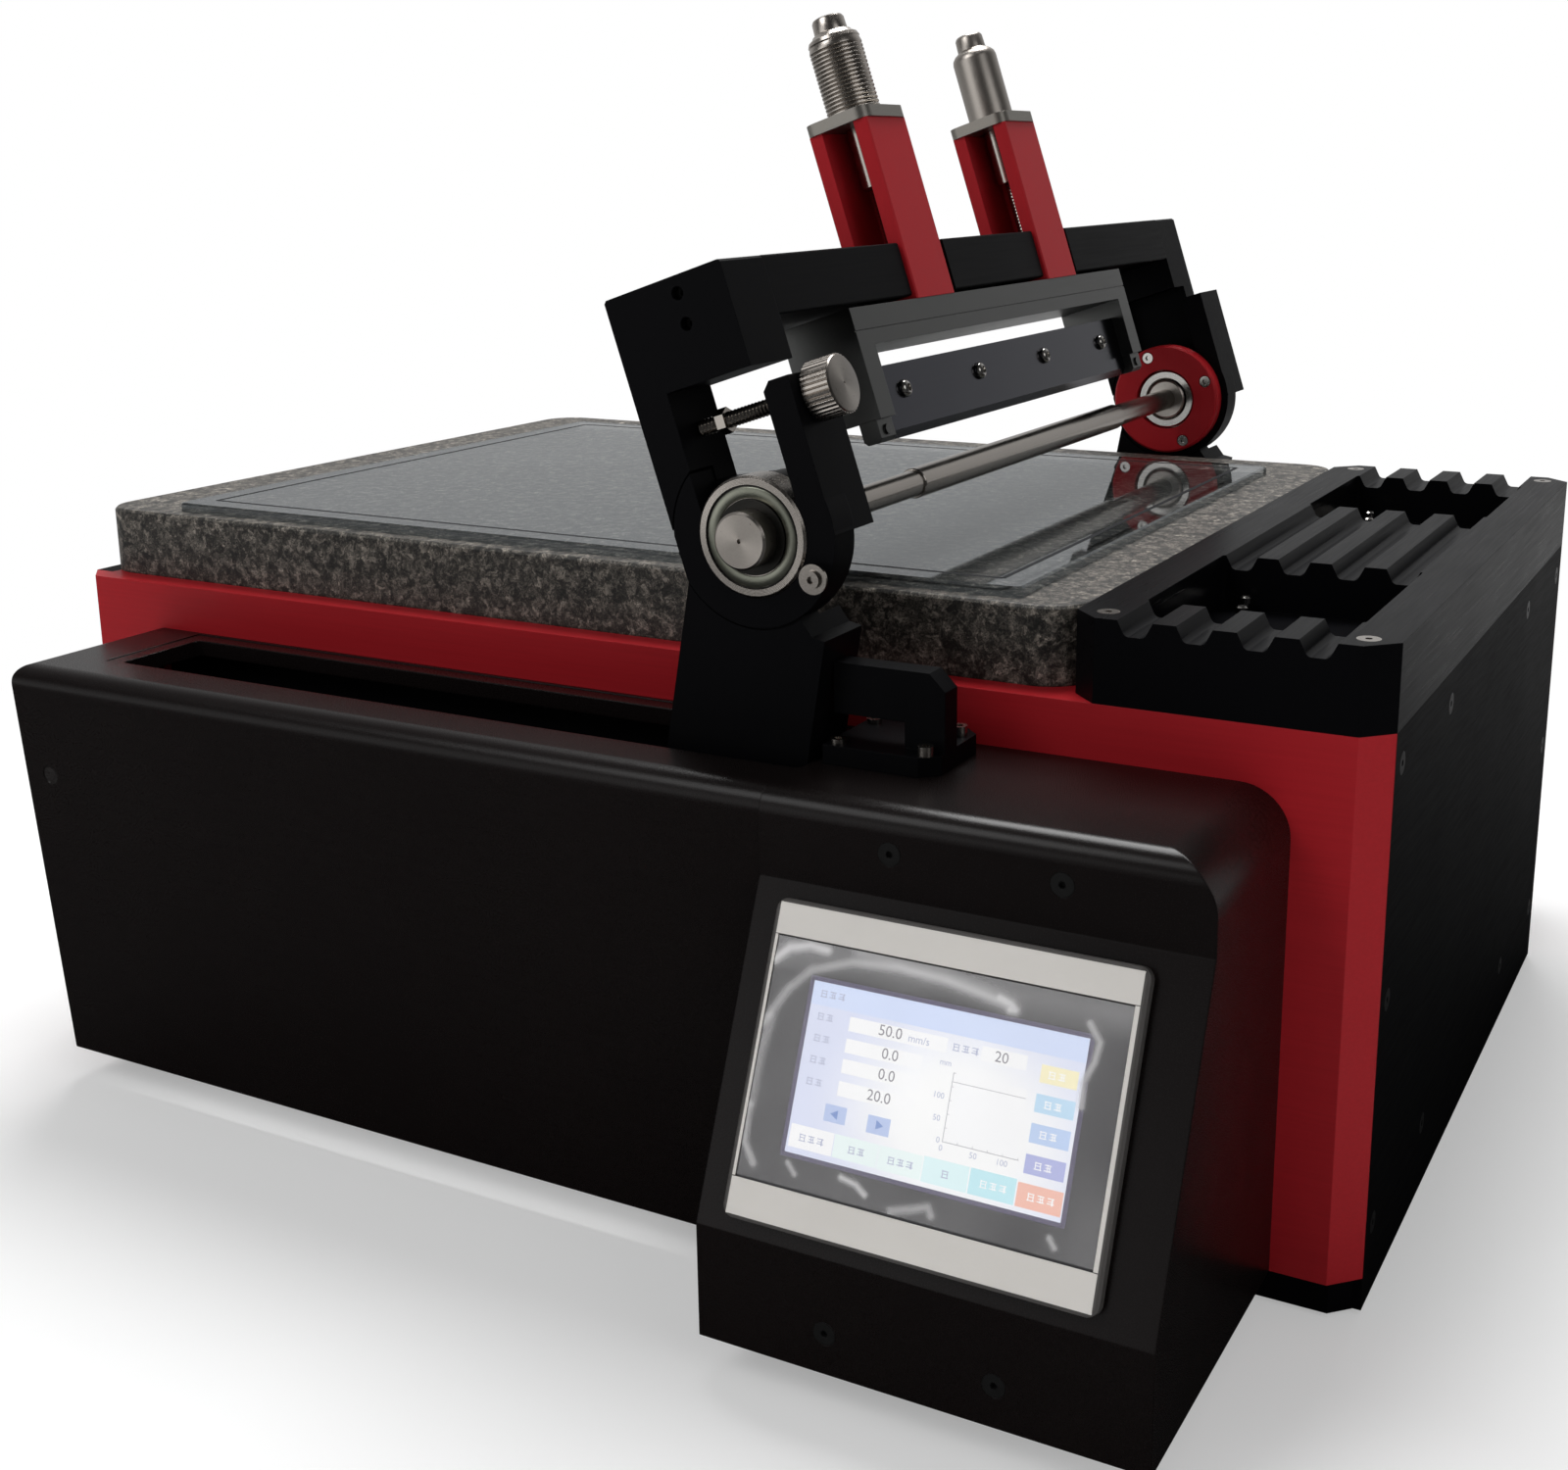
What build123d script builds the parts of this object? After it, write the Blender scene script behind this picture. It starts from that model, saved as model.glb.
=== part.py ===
from build123d import *
from math import asin, cos, degrees, pi, radians, sin, sqrt, tan
import os

# Benchtop film coater: a granite bed with a glass plate, a carriage that runs along it on two
# outboard rails, and a tilting bridge on the carriage that holds a micrometer-set doctor blade.
# Millimetres. +X runs along the bed to the wire-bar tray, +Y to the back, +Z up.
# The origin is the middle of the footprint, on the table.

# ---- base box ----
base_length = 590
base_depth = 370
corner_chamfer = 10
foot_rise = 1.5
foot_radius = 15
foot_thickness = 5
foot_inset = 40
rib_width = 18
rib_top = 42
plinth_top = 14
plinth_recess = 3
panel_thickness = 26
end_panel_thickness = 10
body_top = 210
deck_thickness = 24
seat_gap = 0.2

end_screw_edge = 21
end_screw_inner = 84
end_screw_top = 13
end_screw_bottom = 16

# ---- mains inlet on the left end ----
inlet_half_width = 14
inlet_half_height = 10.5
inlet_z = 60
inlet_flange = 3

# ---- bed ----
granite_gap = 0.2
granite_thickness = 29
granite_setback = 12
granite_overhang = 2
granite_corner_radius = 18
granite_edge = 1.2
glass_length = 410
glass_depth = 310
glass_thickness = 4
glass_right_margin = 25
glass_front_margin = 8
glass_corner = 2
glass_bevel = 0.8

# ---- wire-bar tray ----
tray_width = 110
tray_height = 30
tray_ridge = 32
tray_pocket_length = 90
tray_pocket_width = 76
tray_pocket_depth = 21
groove_count = 4
groove_pitch = 20.5
groove_top_width = 12.5
groove_floor_width = 7
groove_depth = 5.5
groove_round = 2.4
tray_screw_inset = 11
csk_head_radius = 4
csk_depth = 2.4
csk_shank_radius = 2
screw_length = 9
screw_clearance = 0.1
socket_radius = 1.3
socket_depth = 1.6
pocket_screw_pitch = 7
pocket_screw_wall = 16

# ---- drive housings ----
housing_left_inset = 45
housing_right_inset = 30
housing_top = 190
housing_bottom = 14
housing_reach = 78.4
housing_toe = 12.4
housing_wall = 3
housing_edge_radius = 8
housing_small_radius = 6
housing_big_radius = 18
pod_length = 156
pod_reach = 123
pod_edge_radius = 5
incline_top = 160
incline_bottom = 55
slot_left_inset = 35
slot_right_inset = 153
slot_front_reach = 54
slot_back_reach = 8
slot_corner = 5
trim_step = 6
trim_thickness = 1.2
trim_wall = 1.6
trim_depth = 7

# ---- operator panel ----
hmi_width = 128
hmi_height = 103
hmi_offset = -3.5
hmi_corner = 4
hmi_bezel_thickness = 4.5
hmi_glass_width = 122
hmi_glass_height = 79
hmi_glass_sink = 0.6
hmi_glass_thickness = 1.6
hmi_body_width = 118
hmi_body_height = 92
hmi_body_depth = 30

# ---- linear guides and belt drive ----
rail_z = 130
rail_width = 15
rail_height = 9.5
rail_left_inset = 59
rail_right_inset = 155
rail_hole_pitch = 60
slider_length = 58
slider_width = 34
slider_height = 18
slider_ride = 3.5
slide_clearance = 0.3
travel = 255
belt_z = 70
belt_thickness = 1.5
belt_width = 9
belt_gap = 0.35
pulley_radius = 12.7
pulley_face = 11
pulley_flange = 1.2
pulley_from_panel = 2
motor_inset = 70
idler_inset = 145
motor_size = 42
motor_length = 40
motor_boss_radius = 11
motor_boss_height = 2
motor_shaft_radius = 2.5
shaft_running = 0.05

# ---- control board ----
board_length = 190
board_depth = 110
board_clear = 30
board_right_inset = 85
board_thickness = 4
supply_height = 36
driver_height = 20
relay_height = 14

# ---- carriage ----
axis_from_slot = 22.5
axis_z = 266.7
rest_tilt = 18.2
side_gap = 18
side_thickness = 28
post_lean = 9.5
post_half_width = 29
post_from_axis = 2.1
post_centre_z = 233
post_foot_z = 104
shoulder_z = 233
hub_radius = 31.5
hub_gap = 0.5
front_layer = 14
layer_gap = 0.5
post_relief = 0.8
arm_inner = 20.3
arm_outer = 31
arm_top = 48
arm_corner = 3
seat_opening = 17
knob_height = 40.5
bearing_radius = 21
bearing_bore = 10
bearing_width = 12
bearing_proud = 1
bearing_race = 3
retainer_reach = 27.6
retainer_angle = -43
retainer_stand = 3
retainer_washer_radius = 5.2
retainer_washer = 1
flange_radius = 28
flange_hole_radius = 15.5
flange_thickness = 8
flange_screw_circle = 23.5
flange_screw_angle = 26

# ---- bridge ----
leg_back = -30.5
leg_front = 18.6
leg_top = 91
leg_window_top = 54.6
leg_strip = 14
leg_hub_radius = 19.5
leg_edge = 1
beam_bottom = 70
beam_depth = 39
notch_near = 18.5
notch_far = 22
notch_back = -9
axle_radius = 10
axle_nose = 9
rod_neck_radius = 5.2
rod_radius = 6
rod_shoulder_near = 107.5
rod_shoulder_far = 117
anvil_radius = 3
anvil_height = 80

leg_screw_head = 2.1
leg_screw_shank = 1.25
leg_screw_sink = 6

# ---- blade unit ----
unit_offset = -14
tower_pitch = 134
tower_width = 34
tower_front = 20
tower_depth = 26.5
tower_wall = 6
tower_back_wall = 8
tower_top = 140.5
holder_top = 68.4
cap_thickness = 4.7
cap_lip = 1
cap_corner = 5
holder_length = 282
holder_front = 19.6
holder_back = -11
holder_bar = 14.4
holder_stile = 12
holder_foot = 27
holder_back_lip = 3
blade_front = 13.7
blade_thickness = 3.5
blade_top = 46.2
blade_bottom = 18.5
blade_bevel = 2.6
shelf_thickness = 3.6
blade_screw_count = 4
blade_screw_pitch = 70
blade_screw_height = 36
cap_head_radius = 3.5
cap_head_height = 2.6
end_plate_back = 10
end_plate_front = 17.6
lift_range = 20
spindle_axis = 7.3
nose_radius = 3
nose_bottom = 116
spindle_radius = 1.25
thimble_radius = 10.6
thimble_top = 177
thimble_wall = 1.6
thimble_gap = 0.3
sleeve_radius = 8.6
sleeve_top = 172
ratchet_radius = 8
ratchet_top = 181
nib_radius = 5
nib_top = 185.5

# ---- tilt screw ----
stud_radius = 2
stud_clearance = 0.1
stud_contact = 0.3
nut_inner = -7.5
nut_outer = -4
nut_radius = 4.6
knob_gap = 0.4
knob_length = 11.5
knob_radius = 10.3

# ---- home stop ----
stop_from_slot = 3
stop_length = 42
stop_foot = 7
stop_foot_front_reach = 45
stop_foot_back_reach = 5
stop_block_front_reach = 36.5
stop_block_back_reach = 27
stop_height = 34
stop_window_height = 9
stop_leg = 15
stop_chamfer = 6
stop_screw_gap = 0.4
stop_screw_height = 24
stop_left_head = 1.8
stop_right_head = 3.4

half_length = base_length / 2
half_depth = base_depth / 2
housing_left = -half_length + housing_left_inset
housing_right = half_length - housing_right_inset
pod_left = housing_right - pod_length
slot_left = housing_left + slot_left_inset
slot_right = housing_right - slot_right_inset
slot_front = half_depth + slot_front_reach
slot_back = half_depth + slot_back_reach
hmi_centre_x = (pod_left + housing_right) / 2 + hmi_offset
rail_start = -half_length + rail_left_inset
rail_end = half_length - rail_right_inset
motor_pulley_x = -half_length + motor_inset
idler_pulley_x = half_length - idler_inset
axis_x = slot_right - axis_from_slot
post_centre_x = axis_x - post_from_axis
stop_left = slot_right + stop_from_slot
stop_right = stop_left + stop_length
stop_foot_front = half_depth + stop_foot_front_reach
stop_foot_back = half_depth + stop_foot_back_reach
stop_block_front = half_depth + stop_block_front_reach
stop_block_back = half_depth + stop_block_back_reach
stop_top = housing_top + stop_height
stop_screw_z = housing_top + stop_screw_height
bed_top = body_top + granite_thickness
glass_top = bed_top + glass_thickness
tray_left = half_length - tray_width
granite_left = -half_length + granite_overhang
granite_right = tray_left - granite_gap
granite_front = -half_depth + granite_setback
side_inner = half_depth + side_gap
side_outer = side_inner + side_thickness
beam_half = side_inner
belt_y = half_depth + pulley_from_panel + pulley_face / 2
unit_half = holder_length / 2
tower_ys = (unit_offset - tower_pitch / 2, unit_offset + tower_pitch / 2)
beam_back = leg_front - beam_depth
far_shift = Pos(0, side_inner + side_outer, 0)
bearing_y = -side_outer - bearing_proud
stop_screw_y = -(stop_block_front + stop_block_back) / 2
retainer_x = axis_x + retainer_reach * cos(radians(retainer_angle + rest_tilt))
retainer_z = axis_z + retainer_reach * sin(radians(retainer_angle + rest_tilt))
incline_angle = degrees(asin((pod_reach - housing_reach)
                             / sqrt((pod_reach - housing_reach) ** 2
                                    + (incline_top - incline_bottom) ** 2)))


def block(x0, x1, y0, y1, z0, z1):
    return Pos((x0 + x1) / 2, (y0 + y1) / 2, (z0 + z1) / 2) * Box(x1 - x0, y1 - y0, z1 - z0)


def rod_x(radius, x0, x1, y, z):
    return Pos((x0 + x1) / 2, y, z) * Rot(0, 90, 0) * Cylinder(radius, x1 - x0)


def rod_y(radius, y0, y1, x, z):
    return Pos(x, (y0 + y1) / 2, z) * Rot(90, 0, 0) * Cylinder(radius, y1 - y0)


def rod_z(radius, z0, z1, x, y):
    return Pos(x, y, (z0 + z1) / 2) * Cylinder(radius, z1 - z0)


def slab_y(outline, y0, y1):
    """A flat plate: an outline in X and Z, filled from y0 to y1."""
    face = Plane.XZ.offset(-y0) * outline
    return extrude(face, -(y1 - y0))


def polygon(points):
    return make_face(Polyline(*points, close=True))


def upright(shape, size):
    """Breaks the edges that run straight up with a chamfer."""
    return chamfer(shape.edges().filter_by(Axis.Z), size)


def mirrored(shape):
    """The same piece on the other side of the bed."""
    return mirror(shape, about=Plane.XZ)


def leaned(shape):
    """Takes a piece drawn upright about the hinge axis to its place on the bridge at rest."""
    return Pos(axis_x, 0, axis_z) * Rot(0, -rest_tilt, 0) * shape


def csk_screw(length=screw_length):
    """Countersunk socket screw, head face at z = 0, pointing down."""
    head = Pos(0, 0, -csk_depth / 2) * Cone(csk_shank_radius, csk_head_radius, csk_depth)
    shank = Pos(0, 0, -(csk_depth + length) / 2) * Cylinder(csk_shank_radius, length - csk_depth)
    socket = extrude(RegularPolygon(socket_radius, 6), -socket_depth)
    return head + shank - socket


def csk_hole(length=screw_length):
    c = screw_clearance
    head = Pos(0, 0, -csk_depth / 2) * Cone(csk_shank_radius + c, csk_head_radius + c, csk_depth)
    shank = Pos(0, 0, -(csk_depth + length + c) / 2) * Cylinder(
        csk_shank_radius + c, length - csk_depth + c)
    return head + shank


def cap_screw(length, head_radius=cap_head_radius, head=cap_head_height, shank=1.5):
    """Socket cap screw standing on z = 0, pointing down."""
    top = Pos(0, 0, head / 2) * Cylinder(head_radius, head)
    body = Pos(0, 0, -length / 2) * Cylinder(shank, length)
    socket = Pos(0, 0, head - head * 0.5) * extrude(RegularPolygon(head_radius * 0.5, 6), head)
    return top + body - socket


def place_all(shape, places):
    return Compound(children=[place * shape for place in places])


def cut_all(shape, tool, places):
    for place in places:
        shape = shape - place * tool
    return shape


os.makedirs("parts", exist_ok=True)


def save(name, shape):
    export_step(shape, "parts/" + name + ".step")


# ==== base box ====
def foot_places():
    """Four corners, and the middle where the stone's weight would sag the plate."""
    x = half_length - foot_inset
    y = half_depth - foot_inset
    return [Pos(0, 0, 0)] + [Pos(i * x, j * y, 0) for i in (-1, 1) for j in (-1, 1)]


def base_plate():
    depth = base_depth - 2 * plinth_recess
    plate = Pos(0, 0, (foot_rise + plinth_top) / 2) * Box(base_length, depth, plinth_top - foot_rise)
    plate = upright(plate, corner_chamfer)
    inner = half_length - end_panel_thickness - seat_gap
    rib_y = half_depth - panel_thickness - 4
    for side in (-1, 1):
        x0, x1 = sorted((side * inner, side * (half_length + 1)))
        plate = plate - block(x0, x1, -half_depth + corner_chamfer, half_depth - corner_chamfer,
                              0, plinth_top + 1)
        x0, x1 = sorted((side * inner, side * (inner - rib_width)))
        plate = plate + block(x0, x1, -rib_y, rib_y, plinth_top - 1, rib_top)
    pocket = rod_z(foot_radius + seat_gap, 0, foot_thickness, 0, 0)
    return cut_all(plate, pocket, foot_places())


def rubber_feet():
    foot = rod_z(foot_radius, 0, foot_thickness - seat_gap, 0, 0)
    foot = chamfer(foot.edges().group_by(Axis.Z)[0], 1)
    return place_all(foot, foot_places())


def long_panel():
    """Thick anodised side, drawn at the front, with broken outer corners."""
    panel = block(-half_length, half_length, -half_depth, -half_depth + panel_thickness,
                  plinth_top, body_top)
    outer = panel.edges().filter_by(Axis.Z).group_by(Axis.Y)[0]
    panel = chamfer(outer, corner_chamfer)
    for side in (-1, 1):
        x0, x1 = sorted((side * (half_length - end_panel_thickness), side * (half_length + 1)))
        panel = panel - block(x0, x1, -half_depth + corner_chamfer, 0, plinth_top - 1, body_top + 1)
    x = rail_start + rail_hole_pitch / 2
    while x < rail_end:
        panel = panel - rod_y(1.5, -half_depth - 1, -half_depth + 7, x, rail_z)
        x += rail_hole_pitch
    return panel


def front_panel():
    boss = rod_y(motor_boss_radius + seat_gap, -half_depth - 1, -half_depth + panel_thickness + 1,
                 motor_pulley_x, belt_z)
    pin = rod_y(3, -half_depth - 1, -half_depth + 8, idler_pulley_x, belt_z)
    loom = rod_y(12, -half_depth - 1, -half_depth + panel_thickness + 1, hmi_centre_x, 120)
    return long_panel() - boss - pin - loom


def end_screw_places(side):
    places = []
    outer = half_depth - end_screw_edge
    low = plinth_top + end_screw_bottom
    high = body_top - end_screw_top
    for y in (-outer, -end_screw_inner, end_screw_inner, outer):
        for z in (low, high):
            places.append((y, z))
    places += [(-outer, (low + high) / 2), (outer, (low + high) / 2)]
    turn = 90 if side > 0 else -90
    return [Pos(side * half_length, y, z) * Rot(0, turn, 0) for y, z in places]


def end_panel(side):
    inner = half_length - end_panel_thickness
    y = half_depth - corner_chamfer - seat_gap
    x0, x1 = (inner, half_length) if side > 0 else (-half_length, -inner)
    panel = block(x0, x1, -y, y, foot_rise, body_top)
    return cut_all(panel, csk_hole(end_panel_thickness + 1), end_screw_places(side))


def left_end_panel():
    opening = block(-half_length - 1, -half_length + end_panel_thickness + 1,
                    -inlet_half_width - seat_gap, inlet_half_width + seat_gap,
                    inlet_z - inlet_half_height - seat_gap, inlet_z + inlet_half_height + seat_gap)
    return end_panel(-1) - opening


def deck_plate():
    x = half_length - end_panel_thickness
    y = half_depth - panel_thickness
    return block(-x, x, -y, y, body_top - deck_thickness, body_top)


def power_inlet():
    x = -half_length
    body = block(x - 1, x + 22, -inlet_half_width, inlet_half_width,
                 inlet_z - inlet_half_height, inlet_z + inlet_half_height)
    face = block(x - inlet_flange, x - 0.05, -inlet_half_width - 10, inlet_half_width + 10,
                 inlet_z - inlet_half_height - 3, inlet_z + inlet_half_height + 3)
    face = fillet(face.edges().filter_by(Axis.X), 3)
    cavity = block(x - inlet_flange - 1, x + 14, -12, 12, inlet_z - 8, inlet_z + 8)
    cavity = chamfer(cavity.edges().filter_by(Axis.X).group_by(Axis.Z)[-1], 4)
    inlet = face + body - cavity
    for y, z in ((-7, -1.5), (7, -1.5), (0, 3)):
        inlet = inlet + block(x - 1, x + 15, y - 1, y + 1, inlet_z + z - 2, inlet_z + z + 2)
    return inlet


# ==== bed ====
def granite_bed():
    slab = block(granite_left, granite_right, granite_front, half_depth, body_top, bed_top)
    slab = fillet(slab.edges().filter_by(Axis.Z), granite_corner_radius)
    return chamfer(slab.edges().group_by(Axis.Z)[-1], granite_edge)


def glass_platen():
    right = granite_right - glass_right_margin
    front = granite_front + glass_front_margin
    plate = block(right - glass_length, right, front, front + glass_depth, bed_top, glass_top)
    plate = chamfer(plate.edges().filter_by(Axis.Z), glass_corner)
    return chamfer(plate.edges().group_by(Axis.Z)[-1], glass_bevel)


# ==== wire-bar tray ====
def tray_corner_places():
    x0 = tray_left + tray_screw_inset
    x1 = half_length - tray_screw_inset
    y = half_depth - tray_screw_inset
    top = body_top + tray_height
    return [Pos(x, j * y, top) for x in (x0, x1) for j in (-1, 1)]


def pocket_screw_places():
    floor = body_top + tray_height - tray_pocket_depth
    x = tray_left + tray_width / 2 - tray_pocket_width / 2 + pocket_screw_wall
    y = half_depth - tray_ridge - pocket_screw_wall
    return [Pos(x + i * pocket_screw_pitch * 0.5, j * (y - i * pocket_screw_pitch), floor)
            for j in (-1, 1) for i in (0, 1)]


def bar_groove():
    """Round-bottomed cradle with flared sides, cut along the whole tray."""
    top = body_top + tray_height
    flare = groove_top_width / 2 + (groove_top_width - groove_floor_width) / 2 / groove_depth
    section = polygon([(-flare, top + 1), (flare, top + 1),
                       (groove_floor_width / 2, top - groove_depth),
                       (-groove_floor_width / 2, top - groove_depth)])
    groove = slab_y(section, -half_depth - 1, half_depth + 1)
    return fillet(groove.edges().filter_by(Axis.Y).group_by(Axis.Z)[0], groove_round)


def bar_tray():
    top = body_top + tray_height
    middle = tray_left + tray_width / 2
    tray = block(tray_left, half_length, -half_depth, half_depth, body_top, top)
    tray = upright(tray, corner_chamfer)
    for i in range(groove_count):
        x = middle + (i - (groove_count - 1) / 2) * groove_pitch
        tray = tray - Pos(x, 0, 0) * bar_groove()
    y0 = half_depth - tray_ridge - tray_pocket_length
    y1 = half_depth - tray_ridge
    pocket = block(middle - tray_pocket_width / 2, middle + tray_pocket_width / 2, y0, y1,
                   top - tray_pocket_depth, top + 1)
    pocket = fillet(pocket.edges().filter_by(Axis.Z), 2)
    tray = tray - pocket - mirrored(pocket)
    tray = cut_all(tray, csk_hole(), tray_corner_places())
    return cut_all(tray, rod_z(1.6, -6, 1, 0, 0), pocket_screw_places())


def tray_screws():
    corner = place_all(csk_screw(), tray_corner_places())
    floor = place_all(cap_screw(5, 2.8, 3), pocket_screw_places())
    return Compound(children=[corner, floor])


# ==== drive housings ====
def main_section(inset):
    """Side outline of a plain housing in Y and Z, its back on the panel face."""
    front = half_depth + housing_reach - inset
    back = half_depth - (1 if inset else 0)
    low = housing_bottom - (1 if inset else 0)
    face = polygon([(-back, low), (-back, housing_top - inset), (-front, housing_top - inset),
                    (housing_toe - front, low)])
    top = face.vertices().group_by(Axis.Y)[-1].sort_by(Axis.X)[0]
    return fillet(top, housing_edge_radius - inset)


def pod_section(inset):
    upper = half_depth + housing_reach - inset
    lower = half_depth + pod_reach - inset
    lean = radians(incline_angle)
    shift = inset * (1 - sin(lean)) / cos(lean)
    back = half_depth - (1 if inset else 0)
    low = housing_bottom - (1 if inset else 0)
    face = polygon([(-back, low), (-back, housing_top - inset), (-upper, housing_top - inset),
                    (-upper, incline_top - shift), (-lower, incline_bottom + shift * 0.5),
                    (-lower, low)])
    top = face.vertices().group_by(Axis.Y)[-1].sort_by(Axis.X)[0]
    return fillet(top, housing_edge_radius - inset)


def run_x(face, x0, x1):
    """Sweeps a Y-Z outline along the machine."""
    return extrude(Plane.YZ.offset(x0) * face, x1 - x0)


def end_outline(inset):
    """Front outline in X and Z: small top-left corner, generous top-right corner."""
    low = housing_bottom - 2
    face = polygon([(housing_left + inset, low), (housing_right - inset, low),
                    (housing_right - inset, housing_top - inset),
                    (housing_left + inset, housing_top - inset)])
    top = face.vertices().group_by(Axis.Y)[-1].sort_by(Axis.X)
    face = fillet(top[0], housing_small_radius - inset * 0.5)
    top = face.vertices().group_by(Axis.X)[-1].group_by(Axis.Y)[-1][0]
    face = fillet(top, housing_big_radius - inset)
    return slab_y(face, -half_depth - pod_reach - 5, -half_depth + 5)


def housing_body(inset, with_pod):
    body = run_x(main_section(inset), housing_left - 1, housing_right + 1)
    if with_pod:
        body = body + run_x(pod_section(inset), pod_left + inset, housing_right + 1)
    return body & end_outline(inset)


def front_housing():
    shell = housing_body(0, True) - housing_body(housing_wall, True) - slot_cut()
    w = hmi_body_width / 2 + 0.5
    h = hmi_body_height / 2 + 0.5
    shell = shell - hmi_frame(block(-w, w, -h, h, -housing_wall * 3, 1))
    shell = cut_all(shell, csk_hole(), housing_screw_places())
    for x, y in stop_screw_spots():
        shell = shell - rod_z(1.6, housing_top - 6, housing_top + 1, x, y)
    return shell


def rear_housing():
    shell = housing_body(0, False) - housing_body(housing_wall, False)
    return mirrored(shell - slot_cut())


def slot_cut():
    opening = block(slot_left, slot_right, -slot_front, -slot_back,
                    housing_top - housing_wall - 1, housing_top + 1)
    opening = fillet(opening.edges().filter_by(Axis.Z), slot_corner)
    ledge = block(slot_left - trim_step, slot_right + 0.01, -slot_front, -slot_back + trim_step,
                  housing_top - trim_thickness, housing_top + 1)
    return opening + ledge


def slot_trim():
    """Lining of the carriage slot: a flat lip on the ledge and a skirt down into the housing."""
    g = seat_gap
    lip = block(slot_left - trim_step + g, slot_right - g, -slot_front + g,
                -slot_back + trim_step - g, housing_top - trim_thickness, housing_top - 0.3)
    skirt = block(slot_left + g, slot_right - g, -slot_front + g, -slot_back - g,
                  housing_top - trim_depth, housing_top - 0.3)
    skirt = fillet(skirt.edges().filter_by(Axis.Z), slot_corner - g)
    mouth = block(slot_left + g + trim_wall, slot_right - g - trim_wall,
                  -slot_front + g + trim_wall, -slot_back - g - trim_wall,
                  housing_top - trim_depth - 1, housing_top + 1)
    mouth = fillet(mouth.edges().filter_by(Axis.Z), slot_corner - g - trim_wall)
    return lip + skirt - mouth


def slot_trims():
    return Compound(children=[slot_trim(), mirrored(slot_trim())])


def housing_screw_places():
    upper = -(half_depth + housing_reach)
    lower = -(half_depth + pod_reach)
    toe = degrees(asin(housing_toe / (housing_top - housing_bottom)))
    left_y = upper + (housing_top - 144) * tan(radians(toe))
    places = [Pos(x, upper, housing_top - 15) * Rot(90, 0, 0) for x in (pod_left + 48, pod_left + 107)]
    places += [Pos(x, lower, 28.5) * Rot(90, 0, 0) for x in (pod_left + 47, pod_left + 105.5)]
    places += [Pos(housing_left + 14, left_y, 144) * Rot(90 + toe, 0, 0)]
    return places


def housing_screws():
    return place_all(csk_screw(), housing_screw_places())


# ---- operator panel on the slope ----
def hmi_frame(shape):
    """Takes a shape drawn flat, facing +Z with its top to +Y, to the slope of the pod."""
    lean = radians(incline_angle)
    y = -(half_depth + (housing_reach + pod_reach) / 2)
    z = (incline_top + incline_bottom) / 2
    return Pos(hmi_centre_x, y, z) * Rot(90 - incline_angle, 0, 0) * shape


def hmi_bezel():
    plate = Pos(0, 0, hmi_bezel_thickness / 2 + 0.05) * Box(hmi_width, hmi_height, hmi_bezel_thickness)
    plate = fillet(plate.edges().filter_by(Axis.Z), hmi_corner)
    plate = chamfer(plate.edges().group_by(Axis.Z)[-1], 1)
    t = hmi_bezel_thickness + 0.05
    window = block(-hmi_glass_width / 2 - 0.1, hmi_glass_width / 2 + 0.1,
                   -hmi_glass_height / 2 - 0.1, hmi_glass_height / 2 + 0.1,
                   t - hmi_glass_sink - hmi_glass_thickness - 0.1, t + 1)
    return hmi_frame(plate - window)


def hmi_glass():
    t = hmi_bezel_thickness + 0.05
    return hmi_frame(block(-hmi_glass_width / 2, hmi_glass_width / 2,
                           -hmi_glass_height / 2, hmi_glass_height / 2,
                           t - hmi_glass_sink - hmi_glass_thickness, t - hmi_glass_sink))


def hmi_body():
    body = block(-hmi_body_width / 2, hmi_body_width / 2, -hmi_body_height / 2, hmi_body_height / 2,
                 -hmi_body_depth, 0)
    return hmi_frame(fillet(body.edges().filter_by(Axis.Z), 2))


# ---- home stop beside the slot ----
def stop_screw_spots():
    return [(x, y) for x in (stop_left + 4, stop_right - 5)
            for y in (-stop_foot_front + 4, -stop_foot_back - 9)]


def home_stop():
    """Bracket screwed beside the slot: a foot, one leg and an arm over an open window."""
    foot_top = housing_top + stop_foot
    foot = block(stop_left, stop_right, -stop_foot_front, -stop_foot_back, housing_top, foot_top)
    outer = foot.edges().filter_by(Axis.Z).group_by(Axis.X)[-1]
    foot = chamfer(outer, stop_chamfer)
    web = block(stop_left, stop_right, -stop_block_front, -stop_block_back, housing_top, stop_top)
    web = chamfer(web.edges().filter_by(Axis.Y).group_by(Axis.Z)[-1].sort_by(Axis.X)[-1],
                  stop_chamfer)
    window = block(stop_left - 1, stop_right - stop_leg, -stop_block_front - 1, -stop_block_back + 1,
                   foot_top, foot_top + stop_window_height)
    tapped = rod_x(2.1, stop_left - 1, stop_left + 14, stop_screw_y, stop_screw_z)
    stop = foot + web - window - tapped
    for x, y in stop_screw_spots():
        stop = stop - rod_z(1.6, housing_top - 1, foot_top + 1, x, y)
    return stop


def home_stop_screws():
    screws = []
    for x, y in stop_screw_spots():
        head = stop_left_head if x < stop_left + stop_length / 2 else stop_right_head
        screws.append(Pos(x, y, housing_top + stop_foot) * cap_screw(stop_foot + 5, 2.75, head))
    reach = post_edge(stop_screw_z) + stop_screw_gap
    tip = rod_x(2, reach, stop_left + 12, stop_screw_y, stop_screw_z)
    tip = chamfer(tip.edges().group_by(Axis.X)[0], 0.6)
    return Compound(children=screws + [tip])


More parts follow.
